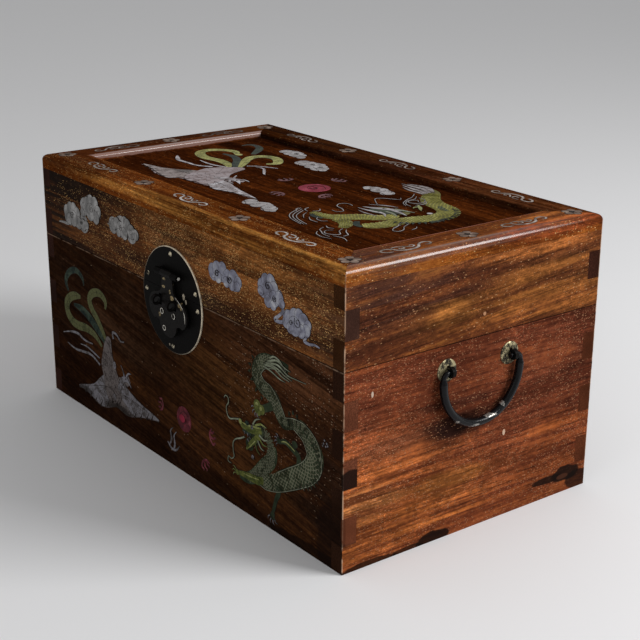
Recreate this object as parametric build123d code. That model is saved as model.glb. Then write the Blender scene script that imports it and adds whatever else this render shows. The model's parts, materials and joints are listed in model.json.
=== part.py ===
from build123d import *
import math
import os

# Rosewood box with a hinged lid: finger-jointed carcass, mitred lid frame with a floating
# panel, shell inlays, a round brass lock plate with a hasp, and a drop bail on each end.
# Millimetres. Origin at the bottom centre, front at -Y, right end at +X, +Z up.

# Carcass and lid
box_length = 424.0
box_depth = 240.0
body_height = 148.0
lid_wall_height = 57.7
board = 12.0
finger_pitch = 21.15
glue_line = 0.1
seam_gap = 0.3
floor_thickness = 8.0
floor_rebate = 5.0
floor_fit = 0.2
groove_depth = 5.0
groove_fit = 0.2
movement_gap = 0.6

# Mitred frame and floating panel of the lid
frame_width = 32.5
frame_thickness = 12.0
frame_round = 5.0
frame_inner_round = 2.0
panel_recess = 5.0
panel_field = 6.8
tongue_thickness = 3.0
tongue_drop = 1.6

# Lock
lock_plate_radius = 42.5
lock_plate_drop = 6.7
lock_plate_thickness = 1.2
lock_plate_bevel = 0.4
hasp_axis_rise = 15.0
hasp_axis_stand_off = 4.3
hasp_barrel_radius = 2.8
hasp_barrel_length = 32.0
hasp_knuckle_length = 15.0
hasp_thickness = 1.6
hasp_neck_length = 5.0
hasp_waist_half_width = 9.0
hasp_waist_rise = 4.6
hasp_shoulder_half_width = 17.0
hasp_lobe_half_width = 27.5
hasp_lobe_drop = 2.0
hasp_lobe_foot_half_width = 20.0
hasp_lobe_foot_drop = 12.5
hasp_cusp_half_width = 16.0
hasp_cusp_drop = 11.6
hasp_tip_root_half_width = 12.0
hasp_tip_root_drop = 13.5
hasp_tip_half_width = 8.5
hasp_tip_side_drop = 20.6
hasp_tip_drop = 23.5
hasp_pin_radius = 1.2
staple_spacing = 21.0
staple_drop = 7.0
staple_stand_off = 8.7
staple_bore = 2.6
staple_ring_width = 1.6
staple_wire_width = 3.0
slot_clearance = 0.4

# Handles
handle_drop = 18.7
handle_spacing = 60.0
handle_stand_off = 4.6
handle_eye_bore = 2.4
handle_eye_ring = 1.6
handle_eye_width = 3.0
rosette_radius = 8.6
rosette_rim = 0.8
rosette_bevel = 0.7
rosette_dome = 2.2
bail_end_radius = 2.0
bail_grip_radius = 3.0
bail_half_width = 36.6
bail_drop = 44.0
bail_bend_radius = 4.0
bail_tip_overhang = 2.0

# Shanks of the eyes and staples
shank_height = 2.4
clinch_length = 6.0
clinch_thickness = 1.2
shank_clearance = 0.15

# Hinges at the rear
hinge_inset = 82.0
hinge_width = 40.0
hinge_leaf_height = 20.0
hinge_leaf_thickness = 1.2
hinge_barrel_radius = 3.0
hinge_pin_radius = 1.3
hinge_stand_off = 3.5
hinge_nail_inset = 6.0
knuckle_gap = 0.3
pin_clearance = 0.1

# Nails
nail_head_radius = 1.9
nail_crown_radius = 0.9
nail_head_height = 1.0
nail_shank = 1.3
nail_length = 9.0
nail_clearance = 0.05
lock_nail_inset = 5.5
lock_nail_angles = (90, 22, 158, 1.5, 178.5, 270)

# Shell inlays
shell_thickness = 0.8
shell_bed = 0.1
shell_gap = 0.15
pearl_radius_front = 10.5
pearl_radius_top = 13.0

lid_bottom = body_height + seam_gap
lid_height = lid_wall_height + frame_thickness
lid_top = lid_bottom + lid_height
frame_bottom = lid_bottom + lid_wall_height
panel_top = lid_top - panel_recess
half_length = box_length / 2
half_depth = box_depth / 2
inner_half_length = half_length - board
inner_half_depth = half_depth - board
opening_half_length = half_length - frame_width
opening_half_depth = half_depth - frame_width
lock_plate_height = body_height - lock_plate_drop
hasp_axis_height = body_height + hasp_axis_rise
staple_height = body_height - staple_drop
handle_height = body_height - handle_drop

front_face = Plane(origin=(0, -half_depth, 0), x_dir=(1, 0, 0), z_dir=(0, -1, 0))
panel_face = Plane(origin=(0, 0, panel_top))

parts = {}


def block(x0, x1, y0, y1, z0, z1):
    """A box between two corners."""
    size = Box(x1 - x0, y1 - y0, z1 - z0)
    return Pos((x0 + x1) / 2, (y0 + y1) / 2, (z0 + z1) / 2) * size


def rod_x(radius, x0, x1, y, z):
    """A round bar along X."""
    return Pos((x0 + x1) / 2, y, z) * Rot(0, 90, 0) * Cylinder(radius, x1 - x0)


# Finger-jointed boards

def finger_notches(half_span, bottom, top, first):
    """Notches in both ends of a board for the fingers of its neighbour, every second pitch."""
    notches = []
    count = math.ceil((top - bottom) / finger_pitch - 0.01)
    for i in range(first, count, 2):
        low = bottom + i * finger_pitch - glue_line / 2
        high = bottom + (i + 1) * finger_pitch + glue_line / 2
        low = bottom - 1 if i == 0 else low
        high = top + 1 if i == count - 1 else high
        for side in (-1, 1):
            inner = side * (half_span - board - glue_line)
            outer = side * (half_span + 1)
            notches.append((min(inner, outer), max(inner, outer), low, high))
    return notches


def long_board(side, bottom, top):
    """Front (side -1) or rear (side 1) board with its fingers on the odd pitches."""
    y0 = side * half_depth
    y1 = side * inner_half_depth
    shape = block(-half_length, half_length, min(y0, y1), max(y0, y1), bottom, top)
    for x0, x1, z0, z1 in finger_notches(half_length, bottom, top, 0):
        shape -= block(x0, x1, min(y0, y1) - 1, max(y0, y1) + 1, z0, z1)
    return shape


def end_board(side, bottom, top):
    """Left (side -1) or right (side 1) board with its fingers on the even pitches."""
    x0 = side * half_length
    x1 = side * inner_half_length
    shape = block(min(x0, x1), max(x0, x1), -half_depth, half_depth, bottom, top)
    for y0, y1, z0, z1 in finger_notches(half_depth, bottom, top, 1):
        shape -= block(min(x0, x1) - 1, max(x0, x1) + 1, y0, y1, z0, z1)
    return shape


def floor_recess():
    """Stopped rebate round the underside of the body, for the edges of the bottom board."""
    x = inner_half_length + floor_rebate + floor_fit
    y = inner_half_depth + floor_rebate + floor_fit
    return block(-x, x, -y, y, -1, floor_thickness)


def box_floor():
    """Bottom board, flush with the underside and seated against the rebate's shoulder."""
    x = inner_half_length + floor_rebate
    y = inner_half_depth + floor_rebate
    return block(-x, x, -y, y, 0, floor_thickness)


# Lid frame and panel

def frame_ring():
    """The four frame members before they are cut apart at the mitres."""
    ring = block(-half_length, half_length, -half_depth, half_depth, frame_bottom, lid_top)
    outer = ring.edges().filter_by(GeomType.LINE).group_by(Axis.Z)[-1]
    ring = fillet(outer, frame_round)
    ring -= block(-opening_half_length, opening_half_length, -opening_half_depth,
                  opening_half_depth, frame_bottom - 1, lid_top + 1)
    rim = [e for e in ring.edges().filter_by_position(Axis.Z, lid_top - 0.01, lid_top + 0.01)
           if abs(e.center().X) < opening_half_length + 0.1
           and abs(e.center().Y) < opening_half_depth + 0.1]
    ring = fillet(rim, frame_inner_round)
    tongue_top = panel_top - tongue_drop
    x = opening_half_length + groove_depth + movement_gap
    y = opening_half_depth + groove_depth + movement_gap
    return ring - block(-x, x, -y, y, tongue_top - tongue_thickness - groove_fit / 2,
                        tongue_top + groove_fit / 2)


def mitre_wedge(name):
    """The part of the plan that belongs to one frame member, between its two mitres."""
    a, b, w = half_length + 1, half_depth + 1, frame_width + 1
    g = glue_line / 2
    corners = {
        "front": [(-a + g, -b), (a - g, -b), (a - w - g, -b + w), (-a + w + g, -b + w)],
        "right": [(a, -b + g), (a, b - g), (a - w, b - w - g), (a - w, -b + w + g)],
    }
    turn = {"front": ("front", 0), "rear": ("front", 180),
            "right": ("right", 0), "left": ("right", 180)}[name]
    outline = make_face(Polyline(*corners[turn[0]], close=True))
    wedge = extrude(outline, lid_height)
    return Pos(0, 0, frame_bottom - 1) * Rot(0, 0, turn[1]) * wedge


def floating_panel():
    """Panel with a tongue all round that lies loose in the grooves of the frame."""
    tongue_top = panel_top - tongue_drop
    x = opening_half_length - movement_gap
    y = opening_half_depth - movement_gap
    field = block(-x, x, -y, y, panel_top - panel_field, panel_top)
    x = opening_half_length + groove_depth
    y = opening_half_depth + groove_depth
    return field + block(-x, x, -y, y, tongue_top - tongue_thickness, tongue_top)


# Shell inlay outlines, in the plane of their face

def cloud(lobes, grow=0):
    """A cloud as the union of round lobes (x, y, radius)."""
    shape = None
    for x, y, radius in lobes:
        lobe = Pos(x, y) * Circle(radius + grow)
        shape = lobe if shape is None else shape + lobe
    return shape


def ribbon(stations, grow=0):
    """A band with its centre line and width given by stations (x, y, width)."""
    left, right = [], []
    last = len(stations) - 1
    for i, (x, y, width) in enumerate(stations):
        before = stations[max(i - 1, 0)]
        after = stations[min(i + 1, last)]
        dx, dy = after[0] - before[0], after[1] - before[1]
        length = math.hypot(dx, dy)
        nx, ny = -dy / length, dx / length
        reach = width / 2 + grow
        along = grow * ((i == last) - (i == 0))
        cx, cy = x + along * dx / length, y + along * dy / length
        left.append((cx + reach * nx, cy + reach * ny))
        right.append((cx - reach * nx, cy - reach * ny))
    edges = [Spline(*left), Line(left[-1], right[-1]), Spline(*reversed(right))]
    return make_face(edges + [Line(right[0], left[0])])


# Heights on the lid front are from its lower edge; X is from the nearer end of the box.
lid_left_lobes = [
    [(45, 23.7, 8), (57, 26.2, 9.5), (71, 22.7, 8)],
    [(74, 38.7, 7), (84, 41.2, 8.5), (95, 37.7, 7)],
    [(122, 32.7, 7), (135, 34.2, 9), (151, 31.7, 8)],
]
lid_right_lobes = [
    [(-154, 30.2, 6.5), (-143, 32.7, 7.5), (-127, 29.7, 7.5)],
    [(-91, 33.7, 6.5), (-82, 36.7, 8), (-73, 31.7, 6)],
    [(-61, 19.7, 7), (-52, 22.2, 7.5), (-43, 19.7, 7)],
]
top_left_lobes = [
    [(97, 70, 6), (107, 72, 7), (117, 69, 7)],
    [(143, 55, 7.5), (155, 57, 8.5), (169, 53, 8)],
    [(229, -59, 6.5), (241, -57, 8), (254, -59, 6.5)],
]
top_right_lobes = [
    [(-176, 44, 5), (-166, 46, 6.5), (-155, 44, 6)],
]
front_pearl_place = (11, 46)
top_pearl_place = (9.5, 8)
# The dragon on the front: tail and coiled body, then neck and foreleg, then the head
front_dragon_bands = [
    [(-62, 130, 9), (-80, 131, 10), (-94, 127, 12), (-100, 117, 13), (-93, 109, 13),
     (-81, 105, 13), (-73, 96, 12), (-66, 90, 10), (-54, 93, 9), (-40, 89, 15), (-31, 77, 19),
     (-36, 65, 19), (-48, 56, 18), (-62, 48, 17), (-74, 41, 15)],
    [(-82, 67, 10), (-82, 57, 12), (-90, 48, 13), (-100, 38, 12), (-110, 31, 10), (-124, 29, 6)],
]
front_dragon_head = [(-110, 58, 5), (-104, 66, 7), (-96, 73, 6)]
# The dragon on the lid panel
top_dragon_bands = [
    [(-146, 76, 12), (-132, 70, 14), (-120, 58, 16), (-106, 51, 17), (-91, 48, 18), (-80, 40, 18),
     (-76, 26, 18), (-81, 10, 17), (-84, -6, 16), (-84, -20, 15), (-90, -32, 12)],
    [(-99, 4, 12), (-100, -8, 14), (-110, -18, 16), (-118, -30, 16), (-126, -37, 12),
     (-142, -39, 7)],
    [(-114, -36, 12), (-102, -39, 11), (-95, -48, 7)],
]
top_dragon_head = [(-119, 8, 7), (-110, 10, 8), (-102, 14, 6)]
# The phoenix on the front: wings across the body, then the tail, then the head
front_phoenix_bands = [
    [(47, 17, 2), (64, 20, 8), (84, 20, 17), (100, 27, 24), (114, 30, 22), (130, 26, 17),
     (150, 29, 13), (168, 31, 8), (184, 31, 2)],
    [(105, 77, 5), (103, 64, 16), (108, 50, 18), (117, 38, 14)],
    [(120, 44, 9), (128, 46, 9), (138, 52, 6)],
]
# The phoenix on the lid panel
top_phoenix_bands = [
    [(67, -59, 2), (86, -58, 9), (106, -59, 18), (120, -50, 26), (138, -46, 26), (156, -48, 20),
     (176, -47, 14), (198, -49, 8), (222, -50, 2)],
    [(126, -3, 6), (128, -18, 17), (132, -32, 20)],
    [(150, -34, 10), (158, -30, 10), (170, -24, 7)],
]


def join(shapes):
    whole = shapes[0]
    for shape in shapes[1:]:
        whole = whole + shape
    return whole


def bands(groups, grow=0):
    return join([ribbon(stations, grow) for stations in groups])


def dragon(body, head, grow=0):
    """Body, neck and head in one piece of stone."""
    return bands(body, grow) + cloud(head, grow)


def at_left(outline, height=0):
    """An outline whose X is measured from the left end of the box."""
    return Pos(-half_length, height) * outline


def at_right(outline, height=0):
    """An outline whose X is measured from the right end of the box."""
    return Pos(half_length, height) * outline


def clouds(left, right, height, grow):
    outlines = [at_left(cloud(lobes, grow), height) for lobes in left]
    return outlines + [at_right(cloud(lobes, grow), height) for lobes in right]


def pearl(place, radius):
    return Pos(*place) * Circle(radius)


# For each face, the nodes of its inlays with their outlines as a function of the gap round them
front_inlays = {
    "front_dragon": lambda grow: [at_right(dragon(front_dragon_bands, front_dragon_head, grow))],
    "front_phoenix": lambda grow: [at_left(bands(front_phoenix_bands, grow))],
    "front_pearl": lambda grow: [pearl(front_pearl_place, pearl_radius_front + grow)],
}
lid_front_inlays = {
    "lid_front_clouds": lambda grow: clouds(lid_left_lobes, lid_right_lobes, lid_bottom, grow),
}
panel_inlays = {
    "panel_dragon": lambda grow: [at_right(dragon(top_dragon_bands, top_dragon_head, grow))],
    "panel_phoenix": lambda grow: [at_left(bands(top_phoenix_bands, grow))],
    "panel_pearl": lambda grow: [pearl(top_pearl_place, pearl_radius_top + grow)],
    "panel_clouds": lambda grow: clouds(top_left_lobes, top_right_lobes, 0, grow),
}


def shell_solids(face, outlines):
    """Thin shell pieces that lie flush with a face."""
    return Compound(children=[face * extrude(outline, -shell_thickness) for outline in outlines])


def shell_beds(face, inlays):
    """Recesses for the shell, wider by the gap and deeper by the bed of glue."""
    depth = shell_thickness + shell_bed
    return [face * extrude(outline, -depth)
            for inlay in inlays.values() for outline in inlay(shell_gap)]


def inlaid(board_shape, face, inlays):
    """A board with the recesses for its inlays, and the inlays as nodes of their own."""
    for bed in shell_beds(face, inlays):
        board_shape = board_shape - bed
    for name, outlines in inlays.items():
        parts[name] = shell_solids(face, outlines(0))
    return board_shape


# Nails, all with the same domed head

def cap_arc(radius, low, high):
    """Half the outline of a round cap whose centre lies on the axis, from its rim to its top."""
    rise = high - low
    ball = (radius ** 2 + rise ** 2) / (2 * rise)
    half = math.asin(radius / ball) / 2
    middle = (ball * math.sin(half), high - ball * (1 - math.cos(half)))
    return ThreePointArc((radius, low), middle, (0, high))


def nail():
    """Square cut nail along -Z with a low round head whose seat is at the origin."""
    head = Pos(0, 0, nail_head_height / 2)
    head = head * Cone(nail_head_radius, nail_crown_radius, nail_head_height)
    half = nail_shank / 2
    return head + block(-half, half, -half, half, -nail_length, 0)


def nail_hole():
    """Hole for a nail along -Z, deep enough for its point."""
    half = nail_shank / 2 + nail_clearance
    return block(-half, half, -half, half, -nail_length - nail_clearance, 2)


def lock_nail_places():
    """Centres of the six nails near the rim of the lock plate."""
    radius = lock_plate_radius - lock_nail_inset
    places = []
    for angle in lock_nail_angles:
        x = radius * math.cos(math.radians(angle))
        z = lock_plate_height + radius * math.sin(math.radians(angle))
        places.append((x, z))
    return places


def front_nail_frame(x, z):
    """Location of a nail through the lock plate."""
    return Plane(origin=(x, -half_depth - lock_plate_thickness, z), x_dir=(1, 0, 0),
                 z_dir=(0, -1, 0)).location


def rear_nail_frame(x, z):
    """Location of a nail through a hinge leaf."""
    return Plane(origin=(x, half_depth + hinge_leaf_thickness, z), x_dir=(-1, 0, 0),
                 z_dir=(0, 1, 0)).location


hinge_axis_y = half_depth + hinge_stand_off
hinge_axis_z = body_height + seam_gap / 2
hinge_centres = [hinge_inset - half_length, half_length - hinge_inset]


def hinge_nail_places(side):
    """Two nails in each leaf; side 1 is the lid, -1 the body."""
    z = hinge_axis_z + side * (hinge_leaf_height - hinge_nail_inset)
    reach = hinge_width / 2 - hinge_nail_inset
    return [(centre + dx, z) for centre in hinge_centres for dx in (-reach, reach)]


lid_nail_frames = [front_nail_frame(x, z) for x, z in lock_nail_places() if z > lid_bottom]
lid_nail_frames += [rear_nail_frame(x, z) for x, z in hinge_nail_places(1)]
body_nail_frames = [front_nail_frame(x, z) for x, z in lock_nail_places() if z < body_height]
body_nail_frames += [rear_nail_frame(x, z) for x, z in hinge_nail_places(-1)]
lid_nail_holes = [frame * nail_hole() for frame in lid_nail_frames]
body_nail_holes = [frame * nail_hole() for frame in body_nail_frames]


# Lock plate, hasp and staples

hasp_axis_y = -half_depth - hasp_axis_stand_off
plate_front_y = -half_depth - lock_plate_thickness
staple_places = [-staple_spacing / 2, staple_spacing / 2]


def shank_slot(x):
    """Rectangular hole for a shank through the lock plate and the front board."""
    w = staple_wire_width / 2 + shank_clearance
    h = shank_height / 2 + shank_clearance
    return block(x - w, x + w, plate_front_y - 1, -inner_half_depth + 1,
                 staple_height - h, staple_height + h)


def lock_disc():
    """Round plate with a bevelled edge, before it is parted at the seam."""
    disc = Pos(0, -half_depth - lock_plate_thickness / 2, lock_plate_height) * Rot(90, 0, 0)
    disc = disc * Cylinder(lock_plate_radius, lock_plate_thickness)
    rim = disc.edges().group_by(Axis.Y)[0]
    return chamfer(rim, lock_plate_bevel)


def hasp_pin_hole():
    return rod_x(hasp_pin_radius + pin_clearance, -hasp_barrel_length, hasp_barrel_length,
                 hasp_axis_y, hasp_axis_height)


def hasp_knuckles():
    """The two outer knuckles on the lock plate, each with a foot on the plate."""
    shape = None
    half = hasp_knuckle_length / 2 + knuckle_gap
    for side in (-1, 1):
        x0, x1 = sorted((side * half, side * hasp_barrel_length / 2))
        knuckle = rod_x(hasp_barrel_radius, x0, x1, hasp_axis_y, hasp_axis_height)
        knuckle += block(x0, x1, hasp_axis_y, -half_depth - lock_plate_thickness / 2,
                         hasp_axis_height - hasp_barrel_radius / 2,
                         hasp_axis_height + hasp_barrel_radius / 2)
        shape = knuckle if shape is None else shape + knuckle
    return shape


def lock_plate(on_lid):
    disc = lock_disc()
    reach = 2 * lock_plate_radius
    if on_lid:
        disc -= block(-reach, reach, -2 * half_depth, 0, 0, lid_bottom)
        disc += hasp_knuckles()
        disc -= hasp_pin_hole()
        holes = lid_nail_holes
    else:
        disc -= block(-reach, reach, -2 * half_depth, 0, body_height, 2 * lid_top)
        holes = body_nail_holes + [shank_slot(x) for x in staple_places]
    for hole in holes:
        disc -= hole
    return disc


hasp_slot_top = hasp_axis_height - math.hypot(
    hasp_axis_height - staple_height, staple_stand_off - hasp_axis_stand_off)
hasp_slot_top += staple_bore + staple_ring_width + slot_clearance
hasp_slot_bottom = hasp_slot_top - 2 * (staple_bore + staple_ring_width + slot_clearance)


def hasp_outline():
    """Cloud-shaped plate: a waisted neck, two broad shoulders and a round tip.

    Drops are measured down from the lower edge of the slots.
    """
    half = hasp_knuckle_length / 2
    low = hasp_slot_bottom
    neck = (half, hasp_axis_height - hasp_neck_length)
    waist = (hasp_waist_half_width, hasp_slot_top + hasp_waist_rise)
    shoulder = (hasp_shoulder_half_width, hasp_slot_top)
    foot = (hasp_lobe_foot_half_width, low - hasp_lobe_foot_drop)
    root = (hasp_tip_root_half_width, low - hasp_tip_root_drop)
    right = [
        Line((half, hasp_axis_height), neck),
        Spline(neck, waist, shoulder, tangents=((0.3, -1), (1, -0.3))),
        ThreePointArc(shoulder, (hasp_lobe_half_width, low - hasp_lobe_drop), foot),
        ThreePointArc(foot, (hasp_cusp_half_width, low - hasp_cusp_drop), root),
        ThreePointArc(root, (hasp_tip_half_width, low - hasp_tip_side_drop),
                      (0, low - hasp_tip_drop)),
    ]
    edges = right + [mirror(edge, Plane.YZ) for edge in right]
    return make_face(edges + [Line((-half, hasp_axis_height), (half, hasp_axis_height))])


def hasp():
    """Hasp with the middle knuckle of its hinge and a slot for each staple."""
    plane = Plane(origin=(0, hasp_axis_y - hasp_thickness / 2, 0), x_dir=(1, 0, 0),
                  z_dir=(0, -1, 0))
    shape = plane * extrude(hasp_outline(), -hasp_thickness)
    half = hasp_knuckle_length / 2
    shape += rod_x(hasp_barrel_radius, -half, half, hasp_axis_y, hasp_axis_height)
    shape -= hasp_pin_hole()
    w = staple_wire_width / 2 + slot_clearance
    for x in staple_places:
        shape -= block(x - w, x + w, hasp_axis_y - 5, hasp_axis_y + 5,
                       hasp_slot_bottom, hasp_slot_top)
    return shape


def hinge_pin(radius, half, y, z):
    """Pin along X, level with the outer ends of its knuckles."""
    return rod_x(radius, -half, half, y, z)


def eye(ring_bore, ring_width, wire_width, stand_off, through):
    """Split eye: a ring, a shank through the board and two legs clinched inside.

    Local frame: the shank runs along -Z from the ring, the outer face is at Z = 0, and the
    ring's bore lies along X.
    """
    outer = ring_bore + ring_width
    ring = Pos(0, 0, stand_off) * Rot(0, 90, 0) * Cylinder(outer, wire_width)
    half = wire_width / 2
    shape = ring + block(-half, half, -shank_height / 2, shank_height / 2, -through, stand_off)
    for side in (-1, 1):
        y0, y1 = sorted((0, side * clinch_length))
        shape += block(-half, half, y0, y1, -through - clinch_thickness, -through)
    return shape - Pos(0, 0, stand_off) * Rot(0, 90, 0) * Cylinder(ring_bore, wire_width + 2)


def lock_staples():
    place = Plane(origin=(0, -half_depth, staple_height), x_dir=(1, 0, 0), z_dir=(0, -1, 0))
    body = eye(staple_bore, staple_ring_width, staple_wire_width, staple_stand_off, board)
    return Compound(children=[Pos(x, 0, 0) * (place * body) for x in staple_places])


# Handles on the ends

handle_places = [-handle_spacing / 2, handle_spacing / 2]


def handle_frame(side, y):
    """Frame at a rosette's centre on an end board: Z outwards, X along the handle's axis."""
    return Plane(origin=(side * half_length, y, handle_height), x_dir=(0, 1, 0),
                 z_dir=(side, 0, 0))


def rosette():
    """Domed round plate with a slot for the eye."""
    profile = make_face([
        Line((0, 0), (rosette_radius, 0)),
        Line((rosette_radius, 0), (rosette_radius, rosette_rim / 2)),
        Line((rosette_radius, rosette_rim / 2), (rosette_radius - rosette_bevel, rosette_rim)),
        cap_arc(rosette_radius - rosette_bevel, rosette_rim, rosette_dome),
        Line((0, rosette_dome), (0, 0)),
    ])
    shape = revolve(Plane.XZ * profile, Axis.Z)
    w = handle_eye_width / 2 + shank_clearance
    h = handle_eye_bore + handle_eye_ring + shank_clearance
    return shape - block(-w, w, -h, h, -1, rosette_dome + 1)


def handle_shank_slots(side):
    w = handle_eye_width / 2 + shank_clearance
    h = shank_height / 2 + shank_clearance
    slot = block(-w, w, -h, h, -board - 1, 1)
    return [handle_frame(side, y) * slot for y in handle_places]


def bail_path(tip):
    """Centre line of one bail: two inturned ends, two short arms and a half-circle grip."""
    arm_foot = bail_half_width - bail_drop
    right = [
        Line((tip, 0), (bail_half_width - bail_bend_radius, 0)),
        RadiusArc((bail_half_width - bail_bend_radius, 0), (bail_half_width, -bail_bend_radius),
                  bail_bend_radius),
    ]
    grip = ThreePointArc((bail_half_width, arm_foot), (0, -bail_drop),
                         (-bail_half_width, arm_foot))
    return right, grip


def bail():
    """Drop bail, thicker in the grip, with its ends turned in through the eyes."""
    tip = handle_spacing / 2 - handle_eye_width / 2 - bail_tip_overhang
    arm_foot = bail_half_width - bail_drop
    plane = Plane(origin=(handle_stand_off, 0, 0), x_dir=(0, 1, 0), z_dir=(1, 0, 0))
    (straight, bend), grip = bail_path(tip)
    end = sweep(Plane(origin=(tip, 0, 0), z_dir=(1, 0, 0)) * Circle(bail_end_radius),
                path=Wire([straight, bend]))
    taper = loft([Plane(origin=(bail_half_width, -bail_bend_radius, 0), z_dir=(0, -1, 0))
                  * Circle(bail_end_radius),
                  Plane(origin=(bail_half_width, arm_foot, 0), z_dir=(0, -1, 0))
                  * Circle(bail_grip_radius)], ruled=True)
    bow = sweep(Plane(origin=(bail_half_width, arm_foot, 0), z_dir=(0, -1, 0))
                * Circle(bail_grip_radius), path=grip)
    arm = end + taper
    return plane * (bow + arm + mirror(arm, Plane.YZ))


def bail_on(side):
    shape = Pos(half_length, 0, handle_height) * bail()
    return shape if side > 0 else Rot(0, 0, 180) * shape


# Rear hinges

def hinge_knuckles(x0, x1):
    """Knuckle between two stations along a hinge, about the hinge axis."""
    return rod_x(hinge_barrel_radius, x0, x1, hinge_axis_y, hinge_axis_z)


def hinge_leaf(side):
    """Leaf at x = 0; side 1 is on the lid with the middle knuckle, -1 on the body."""
    half = hinge_width / 2
    sixth = hinge_width / 6
    clear = hinge_barrel_radius + knuckle_gap
    own = [(-sixth, sixth)] if side > 0 else [(-half, -sixth), (sixth, half)]
    near = hinge_axis_z + side * seam_gap / 2
    far = hinge_axis_z + side * hinge_leaf_height
    z0, z1 = sorted((near, far))
    y0, y1 = half_depth, half_depth + hinge_leaf_thickness
    leaf = block(-half, half, y0, y1, z0, z1)
    others = [(-half, -sixth), (sixth, half)] if side > 0 else [(-sixth, sixth)]
    for x0, x1 in others:
        c0, c1 = sorted((hinge_axis_z - side, hinge_axis_z + side * clear))
        leaf -= block(x0 - knuckle_gap, x1 + knuckle_gap, y0 - 1, y1 + 1, c0, c1)
    for x0, x1 in own:
        a = x0 + knuckle_gap / 2 if x0 > -half else x0
        b = x1 - knuckle_gap / 2 if x1 < half else x1
        leaf += hinge_knuckles(a, b)
    bore = hinge_pin_radius + pin_clearance
    leaf -= rod_x(bore, -hinge_width, hinge_width, hinge_axis_y, hinge_axis_z)
    return leaf


def cut_all(shape, tools):
    for tool in tools:
        shape = shape - tool
    return shape


def build_body():
    recess = floor_recess()
    front = cut_all(long_board(-1, 0, body_height) - recess, body_nail_holes)
    front = cut_all(front, [shank_slot(x) for x in staple_places])
    parts["front_board"] = inlaid(front, front_face, front_inlays)
    parts["rear_board"] = cut_all(long_board(1, 0, body_height) - recess, body_nail_holes)
    for name, side in (("left_board", -1), ("right_board", 1)):
        parts[name] = cut_all(end_board(side, 0, body_height) - recess, handle_shank_slots(side))
    parts["bottom_board"] = box_floor()


def build_lid():
    front = cut_all(long_board(-1, lid_bottom, frame_bottom), lid_nail_holes)
    parts["lid_front_board"] = inlaid(front, front_face, lid_front_inlays)
    parts["lid_rear_board"] = cut_all(long_board(1, lid_bottom, frame_bottom), lid_nail_holes)
    parts["lid_left_board"] = end_board(-1, lid_bottom, frame_bottom)
    parts["lid_right_board"] = end_board(1, lid_bottom, frame_bottom)
    parts["lid_panel"] = inlaid(floating_panel(), panel_face, panel_inlays)
    ring = frame_ring()
    for name in ("front", "rear", "left", "right"):
        parts["lid_frame_" + name] = ring & mitre_wedge(name)


def build_lock():
    parts["lock_plate_upper"] = lock_plate(True)
    parts["lock_plate_lower"] = lock_plate(False)
    parts["hasp"] = hasp()
    parts["hasp_pin"] = hinge_pin(hasp_pin_radius, hasp_barrel_length / 2, hasp_axis_y,
                                  hasp_axis_height)
    parts["lock_staples"] = lock_staples()


def build_handles():
    for name, side in (("left", -1), ("right", 1)):
        frames = [handle_frame(side, y) for y in handle_places]
        body = eye(handle_eye_bore, handle_eye_ring, handle_eye_width, handle_stand_off, board)
        parts[name + "_handle_rosettes"] = Compound(children=[f * rosette() for f in frames])
        parts[name + "_handle_eyes"] = Compound(children=[f * body for f in frames])
        parts[name + "_handle_bail"] = bail_on(side)


def build_hinges():
    for name, centre in zip(("left", "right"), hinge_centres):
        lid_leaf = cut_all(Pos(centre, 0, 0) * hinge_leaf(1), lid_nail_holes)
        body_leaf = cut_all(Pos(centre, 0, 0) * hinge_leaf(-1), body_nail_holes)
        parts[name + "_hinge_lid_leaf"] = lid_leaf
        parts[name + "_hinge_body_leaf"] = body_leaf
        rod = hinge_pin(hinge_pin_radius, hinge_width / 2, hinge_axis_y, hinge_axis_z)
        parts[name + "_hinge_pin"] = Pos(centre, 0, 0) * rod
    parts["lid_nails"] = Compound(children=[frame * nail() for frame in lid_nail_frames])
    parts["body_nails"] = Compound(children=[frame * nail() for frame in body_nail_frames])


build_body()
build_lid()
build_lock()
build_handles()
build_hinges()

os.makedirs("parts", exist_ok=True)
for node, shape in parts.items():
    export_step(shape, "parts/" + node + ".step")
print(len(parts), "nodes written")
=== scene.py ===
import json
import math

import bmesh
import bpy
from mathutils import Matrix, Vector

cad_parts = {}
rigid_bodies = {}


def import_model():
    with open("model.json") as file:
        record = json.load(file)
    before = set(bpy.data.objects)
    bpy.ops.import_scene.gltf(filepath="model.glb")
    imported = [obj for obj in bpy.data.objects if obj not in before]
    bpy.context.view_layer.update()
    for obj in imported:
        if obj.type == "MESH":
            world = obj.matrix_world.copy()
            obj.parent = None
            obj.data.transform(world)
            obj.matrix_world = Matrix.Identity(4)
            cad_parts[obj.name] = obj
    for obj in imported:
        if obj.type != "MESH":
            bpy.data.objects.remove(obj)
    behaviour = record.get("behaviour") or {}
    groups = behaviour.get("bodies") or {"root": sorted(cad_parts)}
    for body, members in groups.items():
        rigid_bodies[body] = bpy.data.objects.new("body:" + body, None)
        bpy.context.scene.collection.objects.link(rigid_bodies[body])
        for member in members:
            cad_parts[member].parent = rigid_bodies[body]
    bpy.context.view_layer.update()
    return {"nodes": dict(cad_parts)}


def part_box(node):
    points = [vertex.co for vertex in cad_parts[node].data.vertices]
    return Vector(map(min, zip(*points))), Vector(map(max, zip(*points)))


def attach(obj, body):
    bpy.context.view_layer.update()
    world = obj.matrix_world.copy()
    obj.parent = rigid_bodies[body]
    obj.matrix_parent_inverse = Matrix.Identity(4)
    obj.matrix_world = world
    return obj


for leftover in list(bpy.data.objects):
    bpy.data.objects.remove(leftover)
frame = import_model()

# Front board of the body. Dark oiled rosewood with its grain along the length; its fingers
# show end grain on the ends of the box, and brown-gold dust fills its open pores. Its tones
# are set darker than the end boards' in part as painted shade, and its left end is darker
# still as painted shade.


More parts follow.
